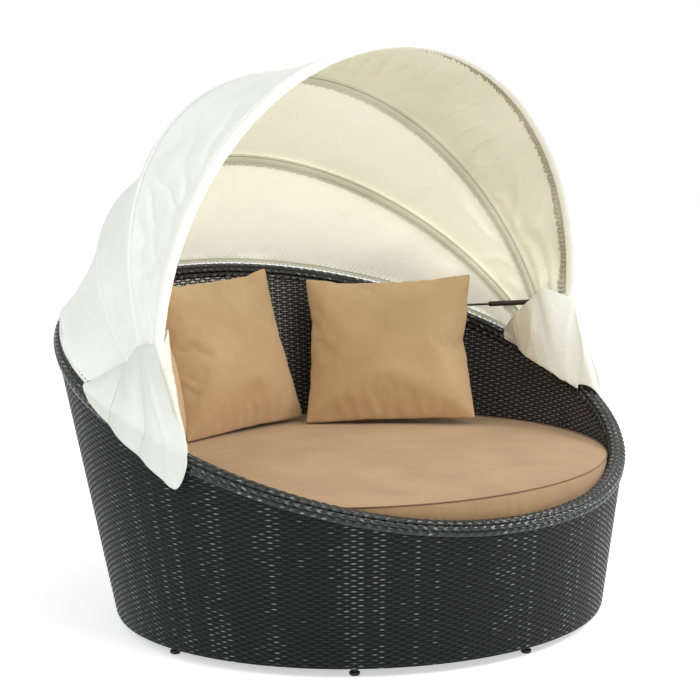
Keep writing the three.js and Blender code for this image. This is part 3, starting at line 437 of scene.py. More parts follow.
# Even samples across the band: inset, rise, the way out, the row and the place within the row.
def braid_samples():
    runs = [math.dist(one, other) for one, other in zip(braid_path, braid_path[1:])]
    whole = sum(runs)
    count = braid_rows * samples_across
    low, passed, samples = 0, 0.0, []
    for j in range(count + 1):
        wanted = whole * j / count
        while low < len(runs) - 1 and passed + runs[low] < wanted:
            passed += runs[low]
            low += 1
        f = (wanted - passed) / runs[low]
        (inset, rise), (next_inset, next_rise) = braid_path[low], braid_path[low + 1]
        strip = j / count * braid_rows
        row = min(int(strip), braid_rows - 1)
        way_out = (-(next_rise - rise) / runs[low], (next_inset - inset) / runs[low])
        inset = inset * (1 - f) + next_inset * f
        rise = rise * (1 - f) + next_rise * f
        samples.append((inset, rise, way_out, row, strip - row))
    return samples


def braid_section(theta, arc, samples):
    rim = rim_height(theta)
    points, crests = [], []
    for inset, rise, way_out, row, within in samples:
        lean = lobe_lean if row % 2 else -lobe_lean
        along = arc / lobe_length + row * 0.5 + lean * (within - 0.5) * 2
        lobe = abs(math.cos(math.pi * along)) ** 0.5 * math.sin(math.pi * within) ** 0.6
        out = lobe_rise * lobe - lobe_sink
        crests.append(lobe)
        points.append(wall_point(theta, rim + rise + way_out[1] * out, inset + way_out[0] * out))
    under = [
        wall_point(theta, rim - braid_drop, wall_thickness + under_gap),
        wall_point(theta, rim - under_gap, wall_thickness + under_gap),
        wall_point(theta, rim - under_gap, -under_gap),
        wall_point(theta, rim - braid_drop, -under_gap),
    ]
    return points + under, crests + [0.0] * len(under)


# Angles that part the rim into equal lengths, with the length passed at each.
def even_angles(count):
    fine = 4 * count
    turns = [2 * math.pi * i / fine for i in range(fine)]
    places = [wall_point(turn, rim_height(turn), 0.0) for turn in turns]
    lengths = [(places[(i + 1) % fine] - places[i]).length for i in range(fine)]
    total = sum(lengths)
    angles, arcs, run, i = [], [], 0.0, 0
    for k in range(count):
        wanted = total * k / count
        while run + lengths[i] < wanted:
            run += lengths[i]
            i += 1
        angles.append(2 * math.pi * (i + (wanted - run) / lengths[i]) / fine)
        arcs.append(wanted)
    return angles, arcs, total


def ring_faces(rings, count, closed_section, closed_ring=True):
    faces = []
    spans = rings if closed_ring else rings - 1
    columns = count if closed_section else count - 1
    for i in range(spans):
        a, b = i * count, (i + 1) % rings * count
        for j in range(columns):
            k = (j + 1) % count
            faces.append((a + j, b + j, b + k, a + k))
    return faces


angles, arcs, rim_length = even_angles(braid_steps)
lobe_length = rim_length / (2 * round(rim_length / lobe_aim / 2))
samples = braid_samples()
points, lobes = [], []
for theta, arc in zip(angles, arcs):
    section, crests = braid_section(theta, arc, samples)
    points += section
    lobes += crests
braid = mesh_piece("plaited_rim_band", points, ring_faces(braid_steps, len(section), True))
turn_outwards(braid)
crest_values = braid.data.attributes.new("strip_crest", "FLOAT", "POINT")
crest_values.data.foreach_set("value", lobes)

# The same strip, glossier where it is bent over the edge, with painted shade, near black, between the
# lobes, and painted highlights in patches of bright line along their ridges, since the real highlight is
# thinner than a pixel.
streak_size, patch_size = 7.14 * mm, 38.46 * mm
rim_plastic, tree, shader = new_material("plaited_strip_plastic")
place = add_node(tree, "TexCoord").outputs["Object"]
crest = add_node(tree, "Attribute", attribute_name="strip_crest").outputs["Fac"]
streaks = add_node(tree, "TexNoise", {"Vector": place, "Scale": 1 / streak_size, "Detail": 4})
# Painted shade: the lower the strip between the lobes, the darker its colour.
raised = add_node(tree, "MapRange", {"Value": crest, "From Min": 0.25, "From Max": 0.85})
body_mix = {mix_share: raised, mix_from: linear("#030404"), mix_to: linear("#2e3231")}
body = add_node(tree, "Mix", body_mix, data_type="RGBA").outputs[mix_result]
patches = add_node(tree, "TexNoise", {"Vector": place, "Scale": 1 / patch_size, "Detail": 2})
# Painted highlight: a bright line along the top of each lobe, in patches.
ridge_line = add_node(tree, "MapRange", {"Value": crest, "From Min": 0.84, "From Max": 0.98})
patchy = add_node(tree, "MapRange", {"Value": patches, "From Min": 0.46, "From Max": 0.62})
glints = add_node(tree, "Math", {0: ridge_line, 1: patchy}, operation="MULTIPLY")
glint_mix = {mix_share: glints, mix_from: body, mix_to: linear("#a9aeab")}
tone = add_node(tree, "Mix", glint_mix, data_type="RGBA")
lift = add_node(tree, "Bump", {"Height": streaks, "Strength": 0.3, "Distance": 0.8 * mm})
tree.links.new(tone.outputs[mix_result], shader.inputs["Base Color"])
tree.links.new(lift.outputs[0], shader.inputs["Normal"])
shader.inputs["Roughness"].default_value = 0.2
shader.inputs["Specular IOR Level"].default_value = 0.4
dress(braid, rim_plastic, "weave", "tub", "rim_braid")

# Feet
# Small round glides of moulded black nylon on short stems, pressed into the ends of the frame.
# They lift the weave clear of the ground and are barely seen below it. The struts' sockets match.
# Moulded nylon: black, with a dull shine and a fine grain from the mould.
glide_plastic = coated_finish("moulded_nylon", "#161616", 0.5, 1.67 * mm, 3, 0.3, 0.3 * mm)
finish_nodes([f"foot_{c}" for c in corners], glide_plastic)
sockets = [f"strut_{s}_{e}_socket" for s in sides_of_tub for e in ("cylinder", "rod")]
finish_nodes(sockets, glide_plastic)

# Pivots and bows
# Zinc-plated bolts and nuts hold the flattened ends of three painted aluminium bows against a
# steel bracket on each side. The cloth wraps all of it, so it shows only in other positions.


# A ground, plated or enamelled surface: even in colour, with its shine broken in small patches.
def polished_finish(name, code, metallic, grain, smoothest, roughest):
    made, tree, shader = new_material(name)
    place = add_node(tree, "TexCoord").outputs["Object"]
    patches = add_node(tree, "TexNoise", {"Vector": place, "Scale": 1 / grain, "Detail": 2})
    rough = add_node(tree, "MapRange", {"Value": patches, "To Min": smoothest, "To Max": roughest})
    tree.links.new(rough.outputs[0], shader.inputs["Roughness"])
    shader.inputs["Base Color"].default_value = linear(code)
    shader.inputs["Metallic"].default_value = metallic
    return made


# Zinc plate: light grey metal with a slightly cloudy shine.
plated_steel = polished_finish("zinc_plated_steel", "#9b9a96", 1.0, 2.5 * mm, 0.25, 0.45)
hardware = [f"pivot_{p}_{s}" for p in ("bolt", "nut") for s in sides_of_tub]
hardware += [f"strut_{s}_{e}_ball" for s in sides_of_tub for e in ("cylinder", "rod")]
finish_nodes(hardware, plated_steel)
# Sprayed paint: cream and smooth, with a soft shine.
bow_paint = coated_finish("painted_aluminium", "#d8d4c6", 0.4, 1.43 * mm, 2, 0.15, 0.3 * mm)
finish_nodes(["bow_front", "bow_middle", "bow_rear"], bow_paint)

# Struts
# Two gas struts: a black enamelled cylinder rolled in at its mouth, and a ground steel rod. Each
# joins the front bow to a lug inside the rim, and its own two joints follow the bows.
rolled_radius, rolled_steps, rolled_corner = 0.0028, 3, 60
doubles_within = 0.00002


def smooth_copy(node, name, angle):
    made = node_of[node].copy()
    made.data = node_of[node].data.copy()
    made.parent = None
    made.name = name
    for key in list(made.keys()):
        del made[key]
    scene.collection.objects.link(made)
    select_only(made)
    bpy.ops.object.mode_set(mode="EDIT")
    bpy.ops.mesh.select_all(action="SELECT")
    bpy.ops.mesh.remove_doubles(threshold=doubles_within)
    bpy.ops.object.mode_set(mode="OBJECT")
    bpy.ops.object.shade_smooth_by_angle(angle=math.radians(angle))
    return made


# Stoved enamel: brownish black with a clear shine. Ground steel: mid grey and nearly mirror bright.
strut_black = polished_finish("black_enamelled_steel", "#2a2220", 0.0, 3.33 * mm, 0.25, 0.4)
strut_steel = polished_finish("ground_steel_rod", "#8c8c8a", 1.0, 2.0 * mm, 0.15, 0.3)
for side in sides_of_tub:
    rod = smooth_copy(f"strut_{side}_rod", f"strut_{side}_ground_rod", 50)
    dress(rod, strut_steel, "strut_steel", f"strut_rod_{side}", f"strut_{side}_rod")
    cylinder = smooth_copy(f"strut_{side}_cylinder", f"strut_{side}_enamelled_cylinder", 20)
    rolled = cylinder.modifiers.new("rolled_end", "BEVEL")
    rolled.width = rolled_radius
    rolled.segments = rolled_steps
    rolled.limit_method = "ANGLE"
    rolled.angle_limit = math.radians(rolled_corner)
    bpy.ops.object.modifier_apply(modifier="rolled_end")
    bpy.ops.object.shade_smooth_by_angle(angle=math.radians(50))
    dress(cylinder, strut_black, "strut_black", f"strut_cylinder_{side}", f"strut_{side}_cylinder")

# Mattress
# A boxed round foam mattress in a tan woven cover: a top panel with a slight crown, a side band
# that bulges a little, and a dark brown welt sewn round the upper and the lower edge.
mattress_top, mattress_bottom, crown = 0.4375, 0.3073, 0.016
mattress_inset, side_bulge, welt_radius, welt_proud = 0.0451, 0.004, 0.0021, 0.0012
around_steps, side_rows = 480, 12
band_above_bottom, band_below_top, band_inset = 0.004, 0.003, 0.001
welt_above_bottom, welt_below_top = 0.0035, 0.001
bottom_shares = (0.05, 0.5, 0.9, 0.97)
top_shares = (0.995, 0.988, 0.975, 0.955, 0.92, 0.87, 0.8, 0.7, 0.58, 0.45, 0.32, 0.18, 0.06)
edge_roll, edge_roll_from, top_sink = 0.0035, 0.9, 0.002
gather_depth, gather_count, broad_unevenness, fine_unevenness = 0.0036, 96, 0.0035, 0.0012
thread_pitch, blotch_size = 1.1 * mm, 167 * mm


# Tan polyester canvas: matt, with a soft bloom along its edges and faint darker blotches. The threads
# are drawn 1.1 mm apart, coarser than the real ones, which would not show.
def fabric_material(name, code, dark, roughness):
    made, tree, shader = new_material(name)
    place = add_node(tree, "TexCoord").outputs["Object"]
    pitch = {"Vector": place, "Scale": 1 / thread_pitch}
    waves = [add_node(tree, "TexWave", pitch, bands_direction=axis) for axis in ("X", "Y", "Z")]
    threads = [wave.outputs["Fac"] for wave in waves]
    two = add_node(tree, "Math", {0: threads[0], 1: threads[1]}, operation="ADD")
    cloth = add_node(tree, "Math", {0: two, 1: threads[2]}, operation="ADD")
    blotch_look = {"Vector": place, "Scale": 1 / blotch_size, "Detail": 4, "Roughness": 0.6}
    blotch = add_node(tree, "TexNoise", blotch_look)
    tone = add_node(tree, "MapRange", {"Value": blotch, "From Min": 0.35, "From Max": 0.65})
    colour_mix = {mix_share: tone, mix_from: linear(dark), mix_to: linear(code)}
    colour = add_node(tree, "Mix", colour_mix, data_type="RGBA")
    lift = add_node(tree, "Bump", {"Height": cloth, "Strength": 0.22, "Distance": 0.4 * mm})
    tree.links.new(colour.outputs[mix_result], shader.inputs["Base Color"])
    tree.links.new(lift.outputs[0], shader.inputs["Normal"])
    shader.inputs["Roughness"].default_value = roughness
    shader.inputs["Sheen Weight"].default_value = 0.25
    shader.inputs["Sheen Roughness"].default_value = 0.5
    return made


def crown_height(place):
    edge = wall_radius(math.atan2(place.y - tub_y, place.x), mattress_top) - mattress_inset
    share = math.hypot(place.x, place.y - tub_y) / edge
    return mattress_top + crown * (1 - share**2) if share < 1 else 0


# A ring of the wall's outline at a height, drawn in by an inset, scaled by a share and laid at a level.
def outline(height, inset, share=1.0, level=None):
    ring = []
    for i in range(around_steps):
        place = wall_point(2 * math.pi * i / around_steps, height, inset)
        level_here = height if level is None else level
        ring.append(Vector((place.x * share, (place.y - tub_y) * share + tub_y, level_here)))
    return ring


def mattress_rings():
    rings = [outline(mattress_bottom, mattress_inset, share) for share in bottom_shares]
    low, high = mattress_bottom + band_above_bottom, mattress_top - band_below_top
    for k in range(side_rows + 1):
        t = k / side_rows
        bulge = side_bulge * math.sin(math.pi * t) ** 0.7
        rings.append(outline(low + (high - low) * t, mattress_inset - bulge + band_inset))
    for share in top_shares:
        rolled_in = max(0, (share - edge_roll_from) / (1 - edge_roll_from))
        rise = crown * (1 - share**2) + edge_roll * (1 - rolled_in**2) - top_sink
        rings.append(outline(mattress_top, mattress_inset, share, mattress_top + rise))
    return rings


# The side band is gathered in loose stretches, and the top is a little uneven.
def soften_mattress(rings):
    first_side = len(bottom_shares)
    for i, ring in enumerate(rings):
        for j, place in enumerate(ring):
            theta = 2 * math.pi * j / around_steps
            if first_side <= i <= first_side + side_rows:
                spot = Vector((math.cos(theta) * 4, math.sin(theta) * 4, 3.1))
                gather = max(0.0, noise.noise(spot)) ** 1.2
                wave = math.sin(theta * gather_count + 2 * noise.noise(place * 9))
                fold = gather_depth * gather * wave * math.sin(math.pi * (i - first_side) / side_rows)
                place += Vector((math.cos(theta), math.sin(theta), 0)) * fold
            elif i > first_side:
                broad = broad_unevenness * noise.noise(place * 2.6)
                place.z += broad + fine_unevenness * noise.noise(place * 9)


def tube_along(name, path, radius, sides, closed=False):
    points = []
    count = len(path)
    for i, place in enumerate(path):
        before = path[i - 1] if closed or i > 0 else place
        after = path[(i + 1) % count] if closed or i < count - 1 else place
        along = (after - before).normalized()
        side = along.cross(Vector((0, 0, 1)) if abs(along.z) < 0.9 else Vector((1, 0, 0))).normalized()
        up = side.cross(along)
        for j in range(sides):
            turn = 2 * math.pi * j / sides
            points.append(place + (side * math.cos(turn) + up * math.sin(turn)) * radius)
    faces = ring_faces(count, sides, True, closed)
    if not closed:
        faces += [tuple(range(sides)), tuple(range(len(points) - sides, len(points)))]
    made = mesh_piece(name, points, faces)
    turn_outwards(made)
    return made


# The pillows' canvas is the palest, the mattress has the same canvas painted deeper and duller as painted
# shade, and the welt is brown tape.
tan_cloth = fabric_material("tan_woven_cover", "#cba97f", "#bf9d74", 0.72)
shaded_mattress_cloth = fabric_material("tan_cover_in_shade", "#bd996e", "#ad8a60", 0.72)
welt_cloth = fabric_material("brown_welt", "#7d5636", "#6f4a2d", 0.75)
rings = mattress_rings()
soften_mattress(rings)
points = [p for ring in rings for p in ring]
faces = ring_faces(len(rings), around_steps, True, False)
faces += [tuple(range(around_steps)), tuple(reversed(range(len(points) - around_steps, len(points))))]
mattress = mesh_piece("round_mattress", points, faces, 50)
turn_outwards(mattress)
dress(mattress, shaded_mattress_cloth, "cushion_fabric", "tub", "seat_mattress")
welts = {
    "mattress_top_welt": mattress_top - welt_below_top,
    "mattress_bottom_welt": mattress_bottom + welt_above_bottom,
}
for name, height in welts.items():
    welt = tube_along(name, outline(height, mattress_inset + welt_proud), welt_radius, 8, True)
    dress(welt, welt_cloth, "cushion_fabric", "tub")

# Pillows
# Three knife-edge scatter pillows: two tan faces sewn together and stuffed with loose fibre, so the
# corners stay pointed, the edges draw in between them and the cloth gathers along the seams.
pillow_width, pillow_height, pillow_loft, draw_in = 0.515, 0.475, 0.160, 0.016
pillow_turns = {"right": (-47, 28, 2.5), "left": (7.5, 18, 1), "side": (67.5, 16.5, -12)}
pillow_columns, pillow_rows = 52, 48
seam_slack, cut_loft, cut_ripple = 1.045, 0.05, 0.0015
pillow_pressure, pillow_frames = 3.6, 26
edge_keep, bottom_keep = 0.6, 0.9
pucker_depth, pucker_rate, pucker_fade, seam_fade = 0.0052, 34, 4.5, 30
rest_gap, press_flat = 0.004, 0.04


def bag_corner(side, i, j):
    on_edge = i in (0, pillow_columns) or j in (0, pillow_rows)
    return (0 if on_edge else side, i, j)


# Two faces of one grid that share their edge points.
def pillow_bag(width, height, loft, drawn):
    points, faces, index = [], [], {}
    for side in (1, -1):
        for i in range(pillow_columns + 1):
            for j in range(pillow_rows + 1):
                key = bag_corner(side, i, j)
                if key in index:
                    continue
                index[key] = len(points)
                u, v = 2 * i / pillow_columns - 1, 2 * j / pillow_rows - 1
                swell = ((1 - u * u) * (1 - v * v)) ** 0.45
                across = (width / 2 - drawn * (1 - v * v)) * u
                along = (height / 2 - drawn * (1 - u * u)) * v
                points.append(Vector((across, loft / 2 * swell * key[0], along)))
    for side in (1, -1):
        for i in range(pillow_columns):
            for j in range(pillow_rows):
                around = ((i, j), (i + 1, j), (i + 1, j + 1), (i, j + 1))
                quad = tuple(index[bag_corner(side, a, b)] for a, b in around)
                faces.append(quad if side < 0 else quad[::-1])
    return points, faces


def box_of(points):
    low = Vector([min(p[k] for p in points) for k in range(3)])
    high = Vector([max(p[k] for p in points) for k in range(3)])
    return low, high


# The flat bag is blown up as cloth, its seams are brought back towards the cut shape, with puckers
# along the lower one, and the whole is brought to the pillow's size.
def stuff(pillow, seed):
    vertices = pillow.data.vertices
    for vertex in vertices:
        vertex.co.y += cut_ripple * noise.noise(vertex.co * 38 + Vector((seed * 7.3, 0, 0)))
    cut_places = [v.co.copy() for v in vertices]
    cloth = pillow.modifiers.new("stuffing", "CLOTH")
    cloth.settings.quality = 6
    cloth.settings.mass = 0.25
    cloth.settings.tension_stiffness = 18
    cloth.settings.compression_stiffness = 6
    cloth.settings.shear_stiffness = 6
    cloth.settings.bending_stiffness = 0.25
    cloth.settings.air_damping = 4
    cloth.settings.use_pressure = True
    cloth.settings.uniform_pressure_force = pillow_pressure
    cloth.settings.effector_weights.gravity = 0
    cloth.collision_settings.use_collision = False
    for frame_number in range(1, pillow_frames + 1):
        scene.frame_set(frame_number)
    bpy.ops.object.modifier_apply(modifier="stuffing")
    scene.frame_set(1)
    for vertex, cut in zip(pillow.data.vertices, cut_places):
        across, along = 2 * cut.x / pillow_width / seam_slack, 2 * cut.z / pillow_height / seam_slack
        lower_share = min(1, -1.6 * along)
        keep = edge_keep if along > 0 else edge_keep + (bottom_keep - edge_keep) * lower_share
        vertex.co.x += (cut.x / seam_slack - vertex.co.x) * edge_keep
        vertex.co.z += (cut.z / seam_slack - vertex.co.z) * keep
        pucker = math.sin(across * pucker_rate + 4 * noise.noise(cut * 11)) * (1 - across * across)
        from_seam = 1 + along
        strength = math.exp(-pucker_fade * from_seam) * (1 - math.exp(-seam_fade * from_seam))
        vertex.co.y += pucker_depth * pucker * strength
    low, high = box_of([v.co for v in pillow.data.vertices])
    size, centre = high - low, (high + low) / 2
    for vertex in pillow.data.vertices:
        place = vertex.co - centre
        vertex.co = (
            place.x * pillow_width / size.x,
            place.y * min(1.0, pillow_loft / size.y),
            place.z * pillow_height / size.z,
        )


for seed, (which, (yaw, tilt, roll)) in enumerate(pillow_turns.items()):
    formed = pillow_bag(pillow_width, pillow_height, pillow_loft, draw_in)[0]
    turned = Matrix.Rotation(math.radians(yaw), 3, "Z") @ Matrix.Rotation(-math.radians(tilt), 3, "X")
    turned = turned @ Matrix.Rotation(-math.radians(roll), 3, "Y")
    low, high = box_of([turned @ p for p in formed])
    cad_low, cad_high = (Vector(c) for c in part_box(f"pillow_{which}"))
    middle = (cad_low + cad_high) / 2 - (low + high) / 2
    bag = pillow_bag(pillow_width * seam_slack, pillow_height * seam_slack, cut_loft, 0)
    pillow = mesh_piece(f"scatter_pillow_{which}", *bag, smooth=180)
    stuff(pillow, seed)
    for vertex in pillow.data.vertices:
        vertex.co = turned @ vertex.co + middle
        floor_height = crown_height(vertex.co) + rest_gap
        if vertex.co.z < floor_height:
            vertex.co.z = floor_height + (vertex.co.z - floor_height) * press_flat
    finer = pillow.modifiers.new("finer", "SUBSURF")
    finer.levels = finer.render_levels = 1
    bpy.ops.object.modifier_apply(modifier="finer")
    turn_outwards(pillow)
    dress(pillow, tan_cloth, "cushion_fabric", "tub", f"pillow_{which}")

# Canopy sleeves
# Cloth casings sewn round the three bows. The front one is wide and flat, with a pleated facing
# behind it; the other two are slim, each with a thin seam along one side and a frill on the other.
pivot = Vector((0, -0.12515, 0.625))
bow_leg, bow_tube, bow_flat_end, stack_pitch = 0.200, 0.010, 0.118, 0.008
bow_shapes = {"front": (5.7, 0.744), "middle": (-24.4, 0.742), "rear": (-47, 0.708)}
arch_half = {which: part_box(f"bow_{which}")[1][0] - bow_tube for which in bow_shapes}
leg_half = {
    "front": arch_half["middle"] + stack_pitch,
    "middle": arch_half["middle"],
    "rear": arch_half["rear"],
}
front_casing_half, front_casing_foot = (0.0125, 0.017), 0.178
sleeve_half, sleeve_foot, lit_side = (0.0132, 0.0138), 0.17, 0.35
casing_steps, casing_sides, casing_taper, casing_play = 420, 16, 0.03, 0.002
casing_crease, casing_crinkle = 0.0009, 0.0006
seam_steps, seam_spot, seam_radius = 360, (-0.0062, 0.0122), 0.0016
frill_root, frill_tip, frill_steps = (-0.006, -0.0115), (-0.012, -0.0185), 1200
frill_waves, frill_ripple, frill_thick = 110, 0.0016, 0.0009
weave_size, crease_size, cloud_size = 1.11 * mm, 55.6 * mm, 200 * mm


def bow_frame(which):
    lean = math.radians(bow_shapes[which][0])
    return Vector((0, -math.sin(lean), math.cos(lean))), Vector((0, -math.cos(lean), -math.sin(lean)))


def bow_at(which, angle, stand, ahead):
    outwards, forwards = bow_frame(which)
    half, rise = arch_half[which], bow_shapes[which][1]
    normal = Vector((math.cos(angle) / half, math.sin(angle) / rise)).normalized()
    across = half * math.cos(angle) + stand * normal.x
    out = bow_leg + rise * math.sin(angle) + stand * normal.y
    return pivot + Vector((across, 0, 0)) + outwards * out + forwards * ahead


def leg_at(which, side, out, stand, ahead):
    outwards, forwards = bow_frame(which)
    share = max(0, (out - bow_flat_end) / (bow_leg - bow_flat_end))
    across = leg_half[which] + (arch_half[which] - leg_half[which]) * share + stand
    return pivot + Vector((across * side, 0, 0)) + outwards * out + forwards * ahead


def casing(name, which, half_out, half_ahead, foot):
    stations = [partial(leg_at, which, 1, out) for out in (foot, (foot + bow_leg) / 2)]
    stations += [partial(bow_at, which, i / casing_steps * math.pi) for i in range(casing_steps + 1)]
    stations += [partial(leg_at, which, -1, out) for out in ((foot + bow_leg) / 2, foot)]
    narrow = bow_tube + casing_play
    points = []
    for i, station in enumerate(stations):
        centre = station(0, 0)
        from_end = min(i, len(stations) - 1 - i)
        full = min(1.0, from_end / (casing_taper * casing_steps))
        wide = narrow + (half_ahead - narrow) * full
        for j in range(casing_sides):
            turn = 2 * math.pi * j / casing_sides
            crease = casing_crease * noise.noise(centre * 42)
            crease += casing_crinkle * noise.noise(centre * 130 + Vector((j, 0, 0)))
            points.append(station((half_out + crease) * math.cos(turn), (wide + crease) * math.sin(turn)))
    made = mesh_piece(name, points, ring_faces(len(stations), casing_sides, True, False), 80)
    turn_outwards(made)
    return made


# Thin coated polyester: matt and nearly white, with soft clouds of tone, small creases and a fine weave,
# drawn coarser than it is. It glows a little, as painted light for the light that comes through it.
def canopy_material(name, code, dark, glow_code, glow):
    made, tree, shader = new_material(name)
    place = add_node(tree, "TexCoord").outputs["Object"]
    clouds = add_node(tree, "TexNoise", {"Vector": place, "Scale": 1 / cloud_size, "Detail": 3})
    threads = add_node(tree, "TexNoise", {"Vector": place, "Scale": 1 / weave_size, "Detail": 2})
    crease_look = {"Vector": place, "Scale": 1 / crease_size, "Detail": 5, "Distortion": 1.2}
    creased = add_node(tree, "TexNoise", crease_look)
    tone = add_node(tree, "MapRange", {"Value": clouds, "From Min": 0.35, "From Max": 0.65})
    colour_mix = {mix_share: tone, mix_from: linear(dark), mix_to: linear(code)}
    colour = add_node(tree, "Mix", colour_mix, data_type="RGBA")
    broad = add_node(tree, "Bump", {"Height": creased, "Strength": 0.4, "Distance": 8 * mm})
    fine_look = {"Height": threads, "Normal": broad, "Strength": 0.15, "Distance": 0.3 * mm}
    lift = add_node(tree, "Bump", fine_look)
    tree.links.new(colour.outputs[mix_result], shader.inputs["Base Color"])
    tree.links.new(lift.outputs[0], shader.inputs["Normal"])
    shader.inputs["Roughness"].default_value = 0.8
    shader.inputs["Emission Color"].default_value = linear(glow_code)
    shader.inputs["Emission Strength"].default_value = glow
    return made


# One cloth as each place shows it, in painted light and shade: white outside; a warmer cream inside that
# glows more, most on the rear panel; duller and glowing less in the hollow of the front panel; and greyer
# on the sleeves' far side, in the pleats, on the seams and in the covers, most on the covers' inner faces.
white_cloth = canopy_material("canopy_cloth_outside", "#f8faf3", "#f2f4ec", "#f8fbf4", 0.15)
cream_cloth = canopy_material("canopy_cloth_inside", "#f5f4e4", "#efeedb", "#f1f8e9", 0.33)
rear_cloth = canopy_material("rear_cloth_inside", "#f6f4e5", "#f0eedd", "#f5f8ea", 0.42)
dusky_cloth = canopy_material("front_cloth_inside", "#f1efdc", "#e4e2cb", "#f1f8e9", 0.20)
sleeve_cloth = canopy_material("bow_sleeve_cloth", "#dcdac8", "#cbc9b5", "#f1f8e9", 0.13)
shade_cloth = canopy_material("pleated_facing_cloth", "#cfcbb8", "#b5b19c", "#f1f8e9", 0.03)
seam_cloth = canopy_material("canopy_seam_thread", "#b5b09c", "#a39e8a", "#f1f8e9", 0.06)
cover_cloth = canopy_material("side_cover_cloth", "#eff1e9", "#e8eae0", "#f8fbf4", 0.08)
shaded_cover_cloth = canopy_material("side_cover_cloth_in_shade", "#e6e4d2", "#dad8c4", "#f8fbf4", 0.05)


# Rows of points become one sheet that faces away from the pivot and has a thickness.
def cloth_sheet(name, rows, thickness, outside, inside):
    points = [place for row in rows for place in row]
    piece = mesh_piece(name, points, ring_faces(len(rows), len(rows[0]), False, False), 180)
    mesh = piece.data
    if sum((p.center - pivot).normalized().dot(p.normal) * p.area for p in mesh.polygons) < 0:
        mesh.flip_normals()
    mesh.materials.append(outside)
    mesh.materials.append(inside)
    solid = piece.modifiers.new("cloth_thickness", "SOLIDIFY")
    solid.thickness = thickness
    solid.offset = -1
    solid.material_offset = 1
    solid.material_offset_rim = 0
    bpy.ops.object.modifier_apply(modifier="cloth_thickness")
    return piece


def sleeve_frill(which):
    rows = []
    for t in (0, 0.35, 0.7, 1):
        row = []
        for i in range(frill_steps + 1):
            angle = (i / frill_steps) * math.pi
            wander = 3 * noise.noise(Vector((angle * 9, 0, 0)))
            wave = math.sin(angle / math.pi * frill_waves * 2 * math.pi + wander)
            uneven = 1 + 0.35 * noise.noise(Vector((angle * 40, 1, 0)))
            stand = frill_root[0] + (frill_tip[0] - frill_root[0]) * t * uneven + frill_ripple * wave * t
            ahead = frill_root[1] + (frill_tip[1] - frill_root[1]) * t * uneven
            row.append(bow_at(which, angle, stand, ahead))
        rows.append(row)
    made = cloth_sheet(f"{which}_sleeve_frill", rows, frill_thick, sleeve_cloth, sleeve_cloth)
    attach(made, f"{which}_bow")
    return made


front_casing = casing("front_bow_casing", "front", *front_casing_half, front_casing_foot)
dress(front_casing, white_cloth, "canopy_fabric", "front_bow")
for which in ("middle", "rear"):
    sleeve = casing(f"{which}_bow_sleeve", which, *sleeve_half, sleeve_foot)
    dress(sleeve, white_cloth, "canopy_fabric", f"{which}_bow")
    sleeve.data.materials.append(sleeve_cloth)
    # Painted shade: faces turned away from the outside take the greyer sleeve cloth.
    outwards, forwards = bow_frame(which)
    for face in sleeve.data.polygons:
        away = face.center - pivot - forwards * (face.center - pivot).dot(forwards)
        if face.normal.dot(away.normalized()) < lit_side:
            face.material_index = 1
    # A thin tube along the seam in a darker cloth: partly the seam itself, partly painted shade along the
    # sleeve's edge.
    seam_path = [bow_at(which, i / seam_steps * math.pi, *seam_spot) for i in range(seam_steps + 1)]
    seam = tube_along(f"{which}_sleeve_seam", seam_path, seam_radius, 6)
    dress(seam, seam_cloth, "canopy_fabric", f"{which}_bow")
    sleeve_frill(which)

# Canopy panels
# Three panels of the same thin coated cloth, white outside and a glowing cream inside, as painted light
# and shade, sewn between the casings and drawn slightly inwards. The rear one falls in soft upright folds
# to the rim.
hem_start = math.radians(12)
cloth_thick, seam_stand, panel_columns, rear_columns = 0.0016, 0.0095, 420, 1200
front_seam, hem_inset, hem_top_rise = -0.0125, 0.0172, 0.0235
front_panel = {"rows": 36, "sag": 0.012, "lean": -9.35, "half_band": 0.10}
middle_panel = {"rows": 28, "sag": 0.012, "lean": -35.7, "half_band": 0.12}
rear_panel = {"rows": 30, "sag": 0.018, "lean": -59.5, "half_band": 0.17}
facing_width, facing_pleats, facing_steps = 0.026, 170, 2040
facing_sunk, facing_depth = 0.0045, 0.0034
hem_puckers, rear_folds = 150, 9
end_ridges, end_lumps = 0.011, 0.008
front_creases, front_slants, front_ends, front_lumps, front_gathers = 0.013, 0.009, 0.008, 0.005, 0.0026
middle_lumps, middle_ridges = 0.006, 0.007
rear_upright, rear_soft, rear_gathers, rear_lumps = 0.0080, 0.014, 0.0034, 0.003


def inwards(place):
    return (pivot - place).normalized()


def panel_rows(first, last, count, sag, fold):
    rows = []
    for k in range(count + 1):
        share = k / count
        row = []
        for i, (a, b) in enumerate(zip(first, last)):
            u = i / (len(first) - 1)
            here = a.lerp(b, share)
            fade = math.sqrt(math.sin(u * math.pi)) if 0 < u < 1 else 0
            row.append(here + inwards(here) * (sag * 4 * share * (1 - share) * fade + fold(u, share, here)))
        rows.append(row)
    return rows


def ridge(value, sharp):
    height = abs(noise.noise(value))
    return (1 - height * 2) ** sharp if height < 0.5 else 0


# The cloth is crushed towards both ends of the bows. The named values are depths in metres, and the
# numbers inside a noise or a sine say how closely the folds follow one another.
def crumple(u, here):
    near_end = math.exp(-8 * min(u, 1 - u))
    return near_end * (end_ridges * ridge(here * 5.5, 2) + end_lumps * noise.noise(here * 11))


